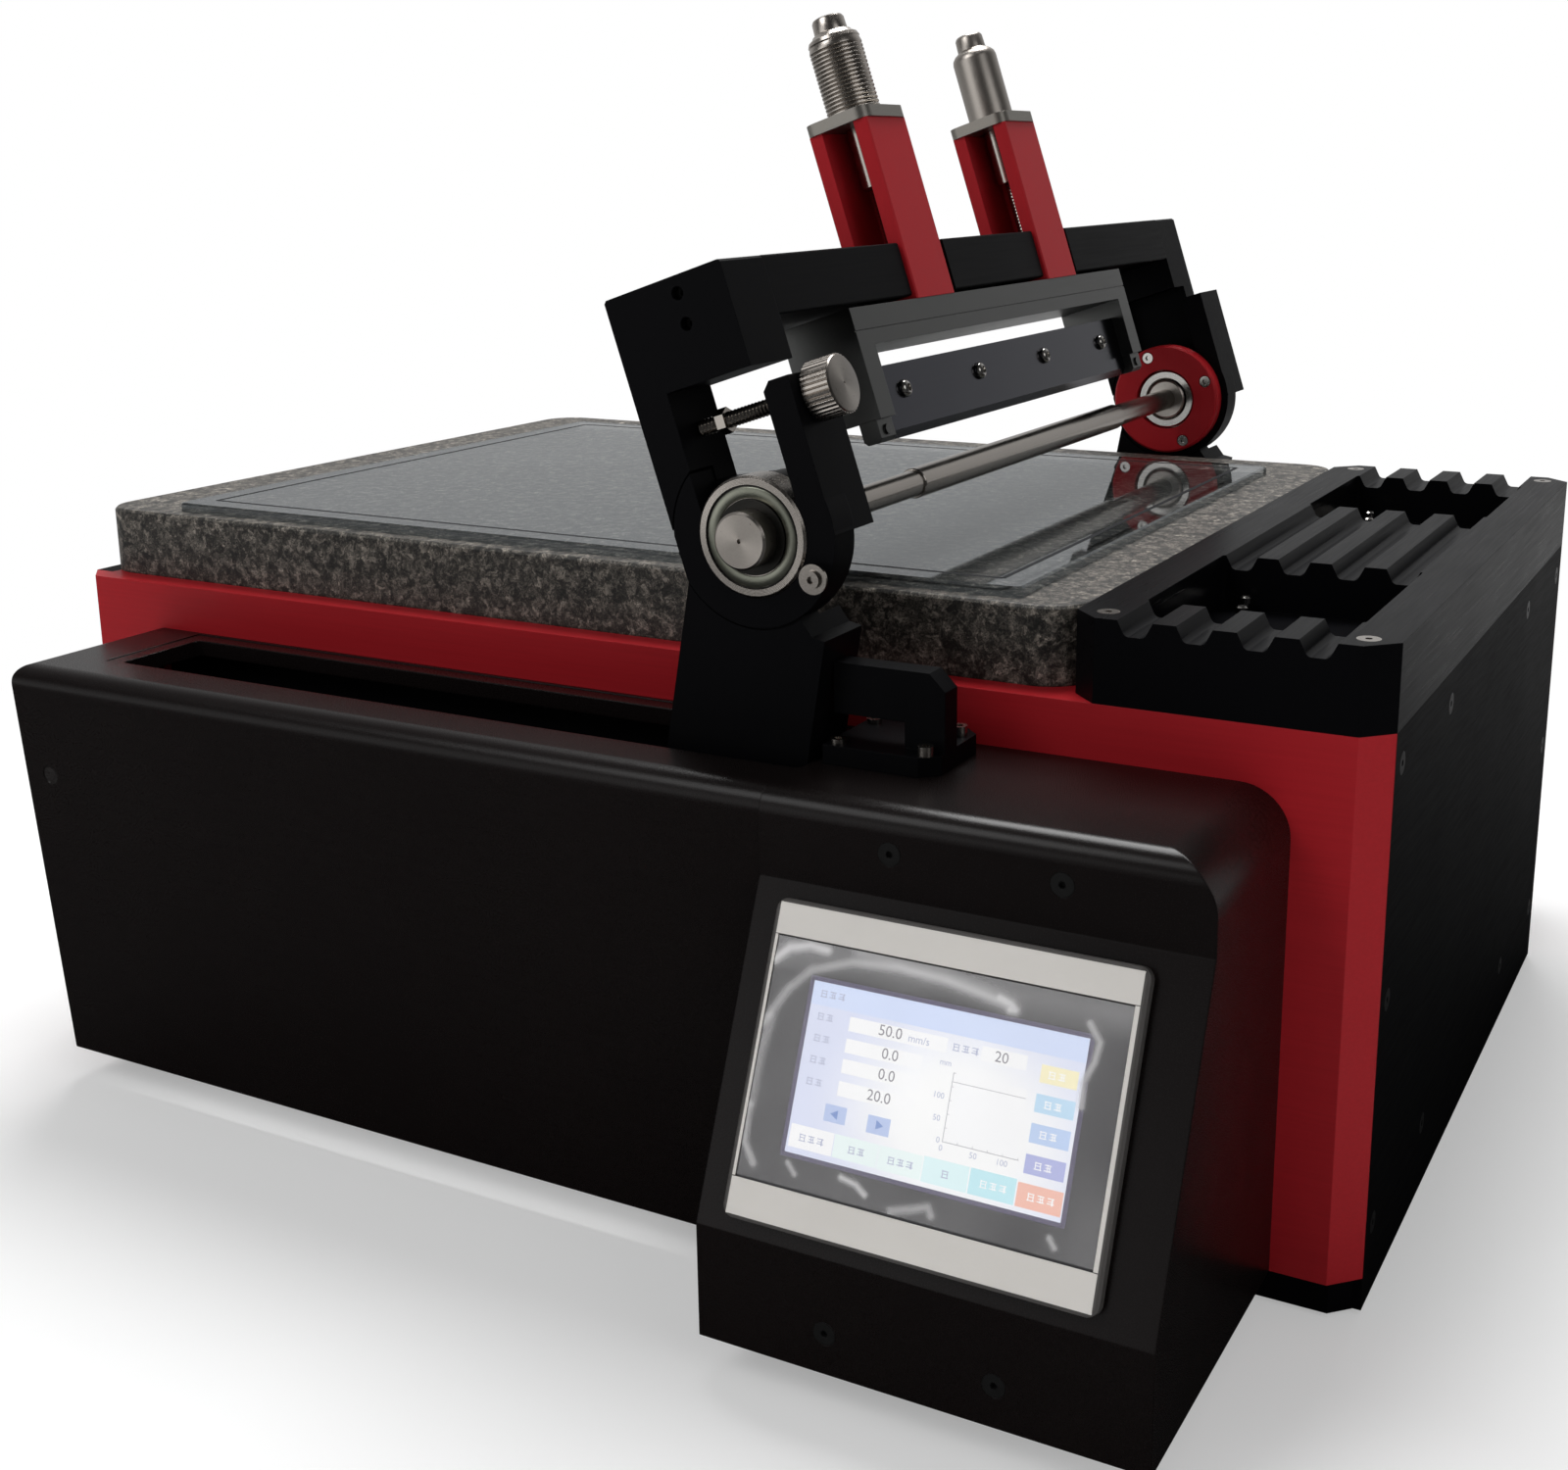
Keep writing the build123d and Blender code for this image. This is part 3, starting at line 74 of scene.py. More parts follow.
# ---------------------------------------------------------------- shader maths
class Wire:
    """The output of a shader node, so that shader sums are written as ordinary sums."""

    def __init__(self, finish, socket):
        self.finish = finish
        self.socket = socket

    def sum(self, operation, *terms):
        return self.finish.node("Math", {"operation": operation}, dict(enumerate(terms)))

    def __add__(self, other):
        return self.sum("ADD", self, other)

    def __sub__(self, other):
        return self.sum("SUBTRACT", self, other)

    def __rsub__(self, other):
        return self.sum("SUBTRACT", other, self)

    def __mul__(self, other):
        return self.sum("MULTIPLY", self, other)

    def __truediv__(self, other):
        return self.sum("DIVIDE", self, other)

    def __rtruediv__(self, other):
        return self.sum("DIVIDE", other, self)

    def __pow__(self, other):
        return self.sum("POWER", self, other)

    def __lt__(self, other):
        return self.sum("LESS_THAN", self, other)

    def __gt__(self, other):
        return self.sum("GREATER_THAN", self, other)

    def __abs__(self):
        return self.sum("ABSOLUTE", self)

    __radd__ = __add__
    __rmul__ = __mul__


class Finish:
    """One material: a shader graph that ends in a Principled surface."""

    def __init__(self, name, edge=0.0004, **surface):
        self.material = bpy.data.materials.new(name)
        self.material.use_nodes = True
        self.tree = self.material.node_tree
        self.tree.nodes.clear()
        self.place = Wire(self, self.add("TexCoord").outputs["Object"])
        self.surface = self.add("BsdfPrincipled")
        self.end = self.add("OutputMaterial")
        self.tree.links.new(self.surface.outputs[0], self.end.inputs["Surface"])
        self.round = self.node("Bevel", {"samples": 4}, {"Radius": edge}) if edge else None
        if edge:
            self.set(normal=self.round)
        self.set(**surface)

    def add(self, kind):
        return self.tree.nodes.new("ShaderNode" + kind)

    def feed(self, socket, value):
        if isinstance(value, Wire):
            self.tree.links.new(value.socket, socket)
        elif isinstance(value, (tuple, list, Vector)) and socket.type == "RGBA":
            socket.default_value = (*value[:3], 1)
        else:
            socket.default_value = value

    def node(self, kind, settings=None, inputs=None, output=0):
        """Adds a node, sets it up, feeds its sockets and returns one of its outputs."""
        made = self.add(kind)
        for key, value in (settings or {}).items():
            if key == "stops":
                ramp = made.color_ramp
                while len(ramp.elements) < len(value):
                    ramp.elements.new(0.5)
                for element, (at, tone) in zip(ramp.elements, value):
                    element.position = at
                    element.color = (*tone, 1) if isinstance(tone, tuple) else (tone, tone, tone, 1)
            else:
                setattr(made, key, value)
        for key, value in (inputs or {}).items():
            self.feed(made.inputs[key], value)
        return Wire(self, made.outputs[output])

    def set(self, **surface):
        """Feeds the surface's own sockets: base_color goes to Base Color, and so on."""
        for key, value in surface.items():
            name = key.replace("_", " ").title().replace("Ior", "IOR")
            self.feed(self.surface.inputs[name], value)
        return self

    def stretched(self, scale=(1, 1, 1), turn=(0, 0, 0), centre=(0, 0, 0)):
        """Object coordinates, moved so that centre is the origin, then turned and scaled."""
        moved = self.node("VectorMath", {"operation": "SUBTRACT"}, {0: self.place, 1: centre})
        turned = self.node("VectorRotate", {"rotation_type": "EULER_XYZ"},
                           {"Vector": moved, "Rotation": turn})
        return self.node("VectorMath", {"operation": "MULTIPLY"}, {0: turned, 1: scale})

    def noise(self, scale, place=None, detail=3.0, rough=0.5, output=0):
        return self.node("TexNoise", None, {"Vector": place or self.place, "Scale": scale,
                                            "Detail": detail, "Roughness": rough}, output)

    def blend(self, amount, dark, light):
        return self.node("Mix", {"data_type": "RGBA"}, {0: amount, 6: dark, 7: light}, 2)

    def ramp(self, value, *stops):
        return self.node("ValToRGB", {"stops": stops}, {0: value})

    def bump(self, height, depth, strength=1.0):
        inputs = {"Height": height, "Distance": depth, "Strength": strength}
        if self.round:
            inputs["Normal"] = self.round
        return self.set(normal=self.node("Bump", None, inputs))

    def across(self, place=None):
        """X, Y and Z of a place, as three separate values."""
        split = self.add("SeparateXYZ")
        self.feed(split.inputs[0], place or self.place)
        return [Wire(self, s) for s in split.outputs]


# ---------------------------------------------------------------- finishes
def lighter(tone, by):
    return tuple(min(1.0, v * by) for v in tone)


def anodised(name, tone, glint, gloss=0.38, shine=0.2, grain=(1, 1, 1), depth=0.00001):
    """Dyed anodised aluminium: faint mill lines along the piece, and a soft uneven dye."""
    f = Finish(name, specular_ior_level=shine)
    lines = f.noise(900, f.stretched(grain), 4, 0.6)
    cloud = f.noise(14, None, 2)
    f.set(base_color=f.blend(lines * 0.6 + cloud * 0.4, tone, glint),
          roughness=gloss + (lines - 0.5) * 0.18 + (cloud - 0.5) * 0.08)
    return f.bump(lines, depth)


def red_panel(red, black):
    """Red side panels, with painted shade: left black where a drive housing covers them, so that the slot
    through the housing shows dark.
    """
    low, high = (Vector(c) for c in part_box("front_housing"))
    slot_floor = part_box("slot_trims")[0][2]
    long_lines = (0.02, 1, 1)
    f = anodised("red_long", lighter(red, 0.85), lighter(red, 1.15), 0.40, 0.12, long_lines)
    x, y, z = f.across()
    # Painted shade: black wherever the drive housing covers the panel, for the dark inside of the slot.
    painted_shade_under_housing = (x > low.x + 8 * MM) * (x < high.x - 28 * MM) * (z > low.z) * (z < slot_floor)
    lines = f.noise(900, f.stretched(long_lines), 4, 0.6)
    seen = f.blend(lines, lighter(red, 0.85), lighter(red, 1.15))
    return f.set(base_color=f.blend(painted_shade_under_housing, seen, black))


def sheet_black(name, tone, glint):
    """Fine-textured powder coat on folded sheet."""
    f = Finish(name, 0.0008, specular_ior_level=0.17)
    grain = f.noise(2600, None, 2)
    cloud = f.noise(9, None, 3)
    f.set(base_color=f.blend(cloud, tone, glint), roughness=0.24 + cloud * 0.06 + (grain - 0.5) * 0.08)
    return f.bump(grain, 0.00005, 0.5)


def machined(name, tone, glint, grain, gloss=0.28, metal=1.0, depth=0.000012, edge=0.0003):
    """Bare metal with its cutting or grinding lines."""
    f = Finish(name, edge, metallic=metal)
    lines = f.noise(1400, f.stretched(grain), 3, 0.65)
    cloud = f.noise(30, None, 3)
    f.set(base_color=f.blend(lines * 0.6 + cloud * 0.4, tone, glint),
          roughness=gloss + (lines - 0.5) * 0.2 + (cloud - 0.5) * 0.06)
    return f.bump(lines, depth)


def turned(name, tone, glint, centre, axis_turn=(0, 0, 0), gloss=0.24, pitch=0.00045):
    """Bare metal off a lathe: fine rings about the axis, and painted highlights standing for the glints
    that rings give a face.
    """
    f = Finish(name, 0, metallic=1.0)
    x, y, z = f.across(f.stretched((1, 1, 1), axis_turn, centre))
    reach = (x * x + y * y) ** 0.5
    wave = (reach + z * 0.9) * (2 * pi / pitch)
    rings = wave.sum("SINE", wave) * 0.5 + 0.5
    # Painted highlight: two bright fans about the axis, painted into the colour as the glints of the
    # rings.
    around = x.sum("ARCTAN2", y, x)
    painted_glints = x.sum("SINE", around * 2 + 0.6) * 0.5 + 0.5
    grit = f.noise(900, None, 3)
    f.set(base_color=f.blend(rings * 0.25 + painted_glints ** 2 * 0.5 + grit * 0.25, tone, glint),
          roughness=gloss + (grit - 0.5) * 0.12)
    return f.bump(rings, 0.00001)


def granite_finish(dark, light):
    """Polished grey granite: ragged pale flecks, fibrous at their edges, among dark mica."""
    f = Finish("granite", 0.001, specular_ior_level=0.3)
    warp = f.noise(210, None, 4, 0.65, 1)
    bent = f.node("Mix", {"data_type": "VECTOR"}, {0: 0.012, 4: f.place, 5: warp}, 1)
    broad = f.noise(240, bent, 3, 0.6)
    flecks = f.noise(560, bent, 8, 0.78)
    cells = f.node("TexVoronoi", {"feature": "F1"}, {"Vector": bent, "Scale": 260, "Randomness": 1})
    shard = f.node("TexVoronoi", {"feature": "DISTANCE_TO_EDGE"},
                   {"Vector": bent, "Scale": 430, "Randomness": 1})
    mixed = flecks * 0.62 + broad * 0.38 + (0.45 - cells) * 0.14 - (shard < 0.05) * 0.05
    pale = f.ramp(mixed, (0.40, 0.0), (0.48, 0.08), (0.56, 0.36), (0.67, 1.0))
    warm = f.blend(f.noise(60, None, 2), tuple(0.92 * c for c in light), light)
    f.set(base_color=f.blend(pale, dark, warm), roughness=0.34 + (1 - pale) * 0.14)
    return f.bump(pale, 0.00004, 0.4)


def clear_glass(name, tint, shine, haze=0.02):
    """A clear sheet: mostly see-through, with a mirror skin that strengthens at a low angle."""
    f = Finish(name, 0, base_color=(0.90, 0.94, 0.97), metallic=1.0)
    smear = f.noise(24, None, 3)
    f.set(roughness=haze + smear * 0.03)
    see = f.add("BsdfTransparent")
    see.inputs[0].default_value = (*tint, 1)
    edge = f.node("Fresnel", None, {"IOR": 1.5})
    mix = f.add("MixShader")
    f.feed(mix.inputs[0], edge + shine + smear * 0.03)
    f.tree.links.new(see.outputs[0], mix.inputs[1])
    f.tree.links.new(f.surface.outputs[0], mix.inputs[2])
    f.tree.links.new(mix.outputs[0], f.end.inputs["Surface"])
    return f


def film_finish(name, tone, haze):
    """Thin protective film: nearly clear, with painted highlights that make it milky and bright where it
    is creased.
    """
    f = Finish(name, 0, base_color=tone, roughness=0.22, specular_ior_level=0.5)
    crease = f.node("Attribute", {"attribute_name": "crease"}, None, "Fac")
    crumple = f.noise(26, None, 1, 0.5)
    see = f.add("BsdfTransparent")
    mix = f.add("MixShader")
    # Painted highlight: the crease attribute makes the film milky and bright along its creases.
    f.feed(mix.inputs[0], crease * 0.85 + haze + (crumple - 0.5) * 0.16)
    f.tree.links.new(see.outputs[0], mix.inputs[1])
    f.tree.links.new(f.surface.outputs[0], mix.inputs[2])
    f.tree.links.new(mix.outputs[0], f.end.inputs["Surface"])
    return f.bump(crumple, 0.0002)


def lit(name, tone, power=1.0, variety=0.03):
    """A patch of a lit screen."""
    f = Finish(name, 0, roughness=0.3, base_color=(0.02, 0.02, 0.02), specular_ior_level=0.1)
    glow = f.noise(60, None, 2)
    pale = tuple(min(1.0, c + variety) for c in tone)
    return f.set(emission_color=f.blend(glow, tone, pale), emission_strength=power)


def moulded(name, tone, glint, gloss=0.5, grain=1800, depth=0.00004, shine=0.35):
    """Moulded plastic or rubber with a fine grain."""
    f = Finish(name, specular_ior_level=shine)
    fine = f.noise(grain, None, 2)
    broad = f.noise(20, None, 2)
    f.set(base_color=f.blend(broad, tone, glint), roughness=gloss + (fine - 0.5) * 0.15)
    return f.bump(fine, depth, 0.5)


finishes = {}


def coat(obj, finish):
    """Gives an object one finish."""
    slots = obj.data.materials
    slots.clear()
    slots.append(finishes[finish].material)
    return obj


# ---------------------------------------------------------------- mesh making
def settle(mesh, name, body, finish, place=None, smooth=35):
    """Turns a finished bmesh into a piece that rides on a body."""
    bmesh.ops.remove_doubles(mesh, verts=mesh.verts, dist=1e-7)
    bmesh.ops.recalc_face_normals(mesh, faces=mesh.faces)
    if place is not None:
        bmesh.ops.transform(mesh, matrix=place, verts=mesh.verts)
    data = bpy.data.meshes.new(name)
    mesh.to_mesh(data)
    mesh.free()
    piece = bpy.data.objects.new(name, data)
    bpy.context.scene.collection.objects.link(piece)
    data.shade_smooth()
    data.set_sharp_from_angle(angle=radians(smooth))
    coat(piece, finish)
    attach(piece, body)
    return piece


def bar(mesh, size, centre, edge=0.0, steps=2):
    """A block with rounded edges, added to a mesh."""
    made = bmesh.ops.create_cube(mesh, size=1)["verts"]
    bmesh.ops.scale(mesh, vec=size, verts=made)
    bmesh.ops.translate(mesh, vec=centre, verts=made)
    if edge:
        edges = list({e for v in made for e in v.link_edges})
        bmesh.ops.bevel(mesh, geom=edges, offset=edge, segments=steps, profile=0.5,
                        affect="EDGES", material=-1)
    return made


def lathe(mesh, profile, steps=64):
    """Spins a profile of (radius, height) about Z, closed at both ends on the axis."""
    made = [mesh.verts.new((r, 0, h)) for r, h in profile]
    edges = [mesh.edges.new(pair) for pair in zip(made, made[1:])]
    bmesh.ops.spin(mesh, geom=made + edges, cent=(0, 0, 0), axis=(0, 0, 1), angle=2 * pi,
                   steps=steps, use_merge=True, use_duplicate=False)


def spun_piece(name, body, finish, profile, place, steps=48):
    """A piece spun from (radius, height) in millimetres about the Z of its place."""
    mesh = bmesh.new()
    lathe(mesh, [(r * MM, h * MM) for r, h in profile], steps)
    return settle(mesh, name, body, finish, place, 30)


def tapped_rod(mesh, radius, low, high, pitch=0.0005, depth=0.00025, steps=24):
    """A threaded rod, its thread as close-set ridges."""
    count = int((high - low) / pitch)
    profile = [(0, low), (radius - depth, low)]
    for i in range(count):
        profile.append((radius, low + (i + 0.5) * pitch))
        profile.append((radius - depth, low + (i + 1) * pitch))
    profile += [(0, low + count * pitch)]
    lathe(mesh, profile, steps)


# ---------------------------------------------------------------- settings
class CoaterColours(bpy.types.PropertyGroup):
    """Colours that a user would change."""

    red: FloatVectorProperty(name="Red", description="Anodised panels and towers", subtype="COLOR",
                             default=(0.40, 0.014, 0.020), min=0, max=1)
    black: FloatVectorProperty(name="Black", description="Anodised carriage and tray",
                               subtype="COLOR", default=(0.0028, 0.0028, 0.0034), min=0, max=1)
    housing: FloatVectorProperty(name="Housing", description="Powder coat of the drive housings",
                                 subtype="COLOR", default=(0.0052, 0.0037, 0.0036), min=0, max=1)
    steel: FloatVectorProperty(name="Steel", description="Ground and turned steel",
                               subtype="COLOR", default=(0.50, 0.46, 0.42), min=0, max=1)
    stone: FloatVectorProperty(name="Stone", description="Pale grains of the granite",
                               subtype="COLOR", default=(0.52, 0.465, 0.395), min=0, max=1)
    bezel: FloatVectorProperty(name="Bezel", description="Face of the touch panel",
                               subtype="COLOR", default=(0.80, 0.77, 0.73), min=0, max=1)


class CoaterSizes(bpy.types.PropertyGroup):
    """Sizes of the pieces that are modelled here."""

    knurl_count: IntProperty(name="Knurls", description="Grooves round the tilt knob",
                             default=38, min=12)
    rib_pitch: FloatProperty(name="Rib pitch", description="Spacing of the near thimble's ribs",
                             default=1.6 * MM, unit="LENGTH")
    border_inset: FloatProperty(name="Border inset", description="Line on the glass from its edge",
                                default=12 * MM, unit="LENGTH")


class COATER_OT_finishes(bpy.types.Operator):
    """Mixes every finish of the machine"""
    bl_idname = "coater.finishes"
    bl_label = "Mix the finishes"

    def execute(self, context):
        c = context.scene.coater_colours
        red = tuple(c.red)
        black = tuple(c.black)
        steel = tuple(c.steel)
        finishes.update({
            "red_long": red_panel(red, black),
            "red_up": anodised("red_up", lighter(red, 0.85), lighter(red, 1.15), 0.38, 0.12,
                               (1, 1, 0.03)),
            "black_plate": anodised("black_plate", lighter(black, 0.8), lighter(black, 1.3), 0.42,
                                    0.04, (1, 1, 0.05), 0.000006),
            "black_long": anodised("black_long", lighter(black, 0.9), lighter(black, 1.15), 0.42,
                                   0.04, (1, 0.02, 1), 0.000004),
            "black_side": anodised("black_side", lighter(black, 0.95), lighter(black, 1.1), 0.5, 0.03,
                                   (1, 0.05, 1), 0.000002),
            "black_tray": anodised("black_tray", lighter(black, 0.8), lighter(black, 1.4), 0.30,
                                   0.03, (1, 0.03, 1), 0.000006),
            "housing_black": sheet_black("housing_black", tuple(c.housing), lighter(c.housing, 1.5)),
            "granite": granite_finish((0.012, 0.012, 0.011), tuple(c.stone)),
            "glass": clear_glass("platen_glass", (0.88, 0.91, 0.93), 0.0),
            "gasket": moulded("gasket", (0.004, 0.005, 0.007), (0.010, 0.011, 0.014), 0.5, shine=0.1),
            "steel_long": machined("steel_long", lighter(steel, 0.7), lighter(steel, 1.1),
                                   (1, 0.02, 1), 0.22),
            "steel_plate": machined("steel_plate", (0.085, 0.088, 0.088), (0.135, 0.135, 0.13),
                                    (1, 0.03, 1), 0.34),
            "steel_screw": machined("steel_screw", lighter(steel, 0.7), lighter(steel, 1.15),
                                    (1, 1, 1), 0.22, edge=0),
            "blade_steel": machined("blade_steel", (0.038, 0.040, 0.052), (0.062, 0.062, 0.075),
                                    (1, 0.02, 1), 0.16, 1.0, 0.000003),
            "bearing_steel": machined("bearing_steel", lighter(steel, 0.75), lighter(steel, 1.1),
                                      (1, 1, 1), 0.3),
            "bearing_ring": turned("bearing_ring", lighter(steel, 0.5), lighter(steel, 1.3),
                                   (hinge.x, 0, hinge.z), (pi / 2, 0, 0), 0.26),
            # Painted shade: the bearings' steel inner rings and the thin ring in the groove beside the
            # shield are coloured near black for the shade they lie in.
            "bearing_painted_shade": machined("bearing_painted_shade", (0.02, 0.02, 0.018), (0.05, 0.048, 0.045),
                                     (1, 1, 1), 0.4),
            "bearing_shield": turned("bearing_shield", (0.12, 0.125, 0.10), (0.40, 0.41, 0.34),
                                     (hinge.x, 0, hinge.z), (pi / 2, 0, 0), 0.3),
            "axle_steel": turned("axle_steel", lighter(steel, 0.6), lighter(steel, 1.3),
                                 (hinge.x, 0, hinge.z), (pi / 2, 0, 0), 0.3),
            "near_thimble_steel": machined("near_thimble_steel", lighter(steel, 0.8),
                                           lighter(steel, 1.2), (1, 1, 1), 0.26, edge=0),
            "thimble_steel": machined("thimble_steel", lighter(steel, 0.7), lighter(steel, 1.05),
                                      (1, 1, 1), 0.36, edge=0),
            "knob_steel": machined("knob_steel", lighter(steel, 0.8), lighter(steel, 1.2),
                                   (1, 1, 1), 0.27, edge=0),
            "knob_face": turned("knob_face", lighter(steel, 0.35), lighter(steel, 1.0),
                                lean_turn @ Vector((31 * MM, KNOB_SIDE, KNOB_HEIGHT)),
                                (0, -pi / 2 + LEAN, 0), 0.3),
            "cap_metal": machined("cap_metal", (0.24, 0.225, 0.20), (0.36, 0.34, 0.31),
                                  (1, 0.05, 1), 0.4, 0.9),
            "chrome": machined("chrome", (0.42, 0.40, 0.38), (0.62, 0.60, 0.57), (1, 1, 1), 0.14, edge=0),
            "black_screw": anodised("black_screw", (0.006, 0.006, 0.006), (0.014, 0.014, 0.014),
                                    0.34, 0.1),
            "bezel": moulded("bezel", lighter(c.bezel, 0.92), lighter(c.bezel, 1.03), 0.42, 900),
            "bezel_edge": moulded("bezel_edge", (0.075, 0.07, 0.068), (0.10, 0.095, 0.09), 0.4),
            "screen_glass": moulded("screen_glass", (0.028, 0.027, 0.03), (0.038, 0.037, 0.041),
                                    0.12, 400, 0.000002),
            "film": film_finish("film", (0.80, 0.79, 0.80), 0.10),
            "plastic": moulded("plastic", (0.02, 0.02, 0.022), (0.03, 0.03, 0.034)),
            "rubber": moulded("rubber", (0.015, 0.015, 0.015), (0.025, 0.025, 0.025), 0.75),
            "bright_aluminium": machined("bright_aluminium", (0.5, 0.5, 0.49), (0.66, 0.66, 0.65),
                                         (1, 0.05, 1), 0.35),
        })
        return {"FINISHED"}


NODE_FINISH = {
    "base_plate": "black_long", "rubber_feet": "rubber", "front_panel": "red_long",
    "rear_panel": "red_long", "left_end_panel": "black_side", "right_end_panel": "black_side",
    "end_panel_screws": "black_screw", "deck_plate": "bright_aluminium", "power_inlet": "plastic",
    "granite_bed": "granite", "glass_platen": "glass", "bar_tray": "black_tray",
    "tray_screws": "steel_screw", "front_housing": "housing_black", "rear_housing": "housing_black",
    "slot_trims": "housing_black", "housing_screws": "black_screw", "hmi_body": "plastic",
    "hmi_bezel": "bezel_edge", "hmi_glass": "screen_glass", "home_stop": "black_plate",
    "home_stop_screws": "steel_screw", "guide_rails": "steel_long", "drive_motor": "plastic",
    "idler_pin": "steel_screw", "timing_belt": "rubber", "control_board": "plastic",
    "near_side_plate": "black_plate", "far_side_plate": "black_plate",
    "slider_blocks": "steel_long", "bearing_outer_rings": "bearing_ring",
    "bearing_retainer": "steel_screw", "bearing_flange": "red_up", "carriage_screws": "chrome",
    "belt_clamp": "bright_aluminium", "near_leg": "black_plate", "far_leg": "black_plate",
    "leg_screws": "black_screw", "crossbeam": "black_long", "anvil_pins": "steel_screw",
    "near_axle": "axle_steel", "far_axle": "axle_steel", "cross_rod": "steel_long",
    "bearing_inner_rings": "bearing_painted_shade", "near_tower": "red_up", "far_tower": "red_up",
    "tower_caps": "cap_metal", "micrometer_sleeves": "thimble_steel",
    "blade_holder": "steel_plate", "blade": "blade_steel", "blade_screws": "steel_screw",
    "blade_end_plates": "steel_plate", "near_thimble": "thimble_steel",
    "far_thimble": "thimble_steel", "tilt_knob": "knob_steel", "tilt_lock_nut": "steel_screw",
    "drive_shaft": "steel_screw", "drive_pulley": "bright_aluminium",
    "idler_pulley": "bright_aluminium",
}


class COATER_OT_dress(bpy.types.Operator):
    """Gives every machined piece its finish"""
    bl_idname = "coater.dress"
    bl_label = "Finish the machined pieces"

    def execute(self, context):
        for name, piece in nodes.items():
            coat(piece, NODE_FINISH[name])
        return {"FINISHED"}


# ---------------------------------------------------------------- touch panel
SCREEN_COLOURS = {
    "screen_field": (0.74, 0.78, 0.96), "screen_title": (0.66, 0.75, 1.0),
    "screen_cell": (0.98, 0.98, 1.0), "screen_ink": (0.26, 0.25, 0.28),
    "screen_line": (0.46, 0.45, 0.49), "screen_label": (0.46, 0.49, 0.66),
    "screen_arrow": (0.48, 0.58, 0.86), "screen_mark": (0.18, 0.29, 0.62),
    "screen_yellow": (0.98, 0.90, 0.58), "screen_sky": (0.52, 0.74, 0.93),
    "screen_blue": (0.50, 0.64, 0.91), "screen_violet": (0.43, 0.46, 0.78),
    "screen_orange": (0.92, 0.50, 0.40), "screen_mint": (0.86, 0.97, 0.96),
    "screen_pale": (0.74, 0.94, 0.96), "screen_cyan": (0.54, 0.85, 0.92),
}
# Left, right, bottom and top of each coloured field of the screen, in millimetres.
SCREEN_FIELDS = (
    ("screen_field", -45.5, 48.4, -27.1, 27.4), ("screen_title", -45.5, 48.4, 20.0, 27.4),
    ("screen_cell", -30.8, 3.4, 14.0, 18.5), ("screen_cell", -30.8, -4.0, 7.2, 11.6),
    ("screen_cell", -30.8, -4.0, 0.8, 5.2), ("screen_cell", -30.8, -4.0, -6.4, -1.8),
    ("screen_cell", 15.0, 30.0, 14.0, 18.5), ("screen_cell", 7.2, 31.5, -12.4, 8.6),
    ("screen_arrow", -34.0, -26.4, -14.9, -9.5), ("screen_arrow", -18.8, -11.0, -15.2, -9.7),
    ("screen_cell", -44.7, -29.2, -25.2, -18.0), ("screen_mint", -28.9, -13.5, -25.2, -18.0),
    ("screen_mint", -13.2, 1.8, -25.4, -18.0), ("screen_pale", 2.1, 17.4, -25.6, -17.8),
    ("screen_cyan", 17.8, 32.9, -25.6, -17.8), ("screen_orange", 33.4, 48.0, -25.6, -18.4),
    ("screen_yellow", 34.8, 46.8, 11.6, 17.0), ("screen_sky", 34.6, 47.2, 2.7, 8.2),
    ("screen_blue", 34.5, 47.2, -6.4, -0.6), ("screen_violet", 34.4, 47.3, -15.6, -9.8),
)
# Words as plain marks: left end, middle height and number of signs.
SCREEN_WORDS = (
    ("screen_label", -42.4, 23.8, 3), ("screen_label", -42.2, 16.6, 2), ("screen_label", -42.2, 9.8, 2),
    ("screen_label", -42.2, 3.0, 2), ("screen_label", -42.2, -3.9, 2), ("screen_label", 5.4, 16.3, 3),
    ("screen_label", -41.2, -21.7, 3), ("screen_label", -23.6, -21.7, 2),
    ("screen_label", -9.8, -21.8, 3), ("screen_label", 8.6, -21.8, 1),
    ("screen_cell", 21.4, -21.8, 3), ("screen_cell", 36.9, -22.0, 3),
    ("screen_cell", 37.4, 14.3, 2), ("screen_cell", 37.6, 5.4, 2), ("screen_cell", 37.6, -3.5, 2),
    ("screen_cell", 37.6, -12.7, 2),
)
# Text, left end, bottom and height of each number.
SCREEN_NUMBERS = (
    ("50.0", -20.4, 14.9, 3.0), ("0.0", -18.0, 8.0, 3.0), ("0.0", -18.0, 1.6, 3.0),
    ("20.0", -20.6, -5.4, 3.0), ("20", 19.4, 14.7, 2.9), ("mm/s", -10.0, 14.9, 2.1),
    ("mm", 1.9, 10.3, 1.6), ("100", 1.4, 0.2, 1.6), ("50", 2.6, -6.6, 1.6), ("0", 4.9, -13.0, 1.6),
    ("0", 6.2, -15.2, 1.6), ("50", 16.4, -15.2, 1.6), ("100", 25.2, -15.2, 1.6),
)
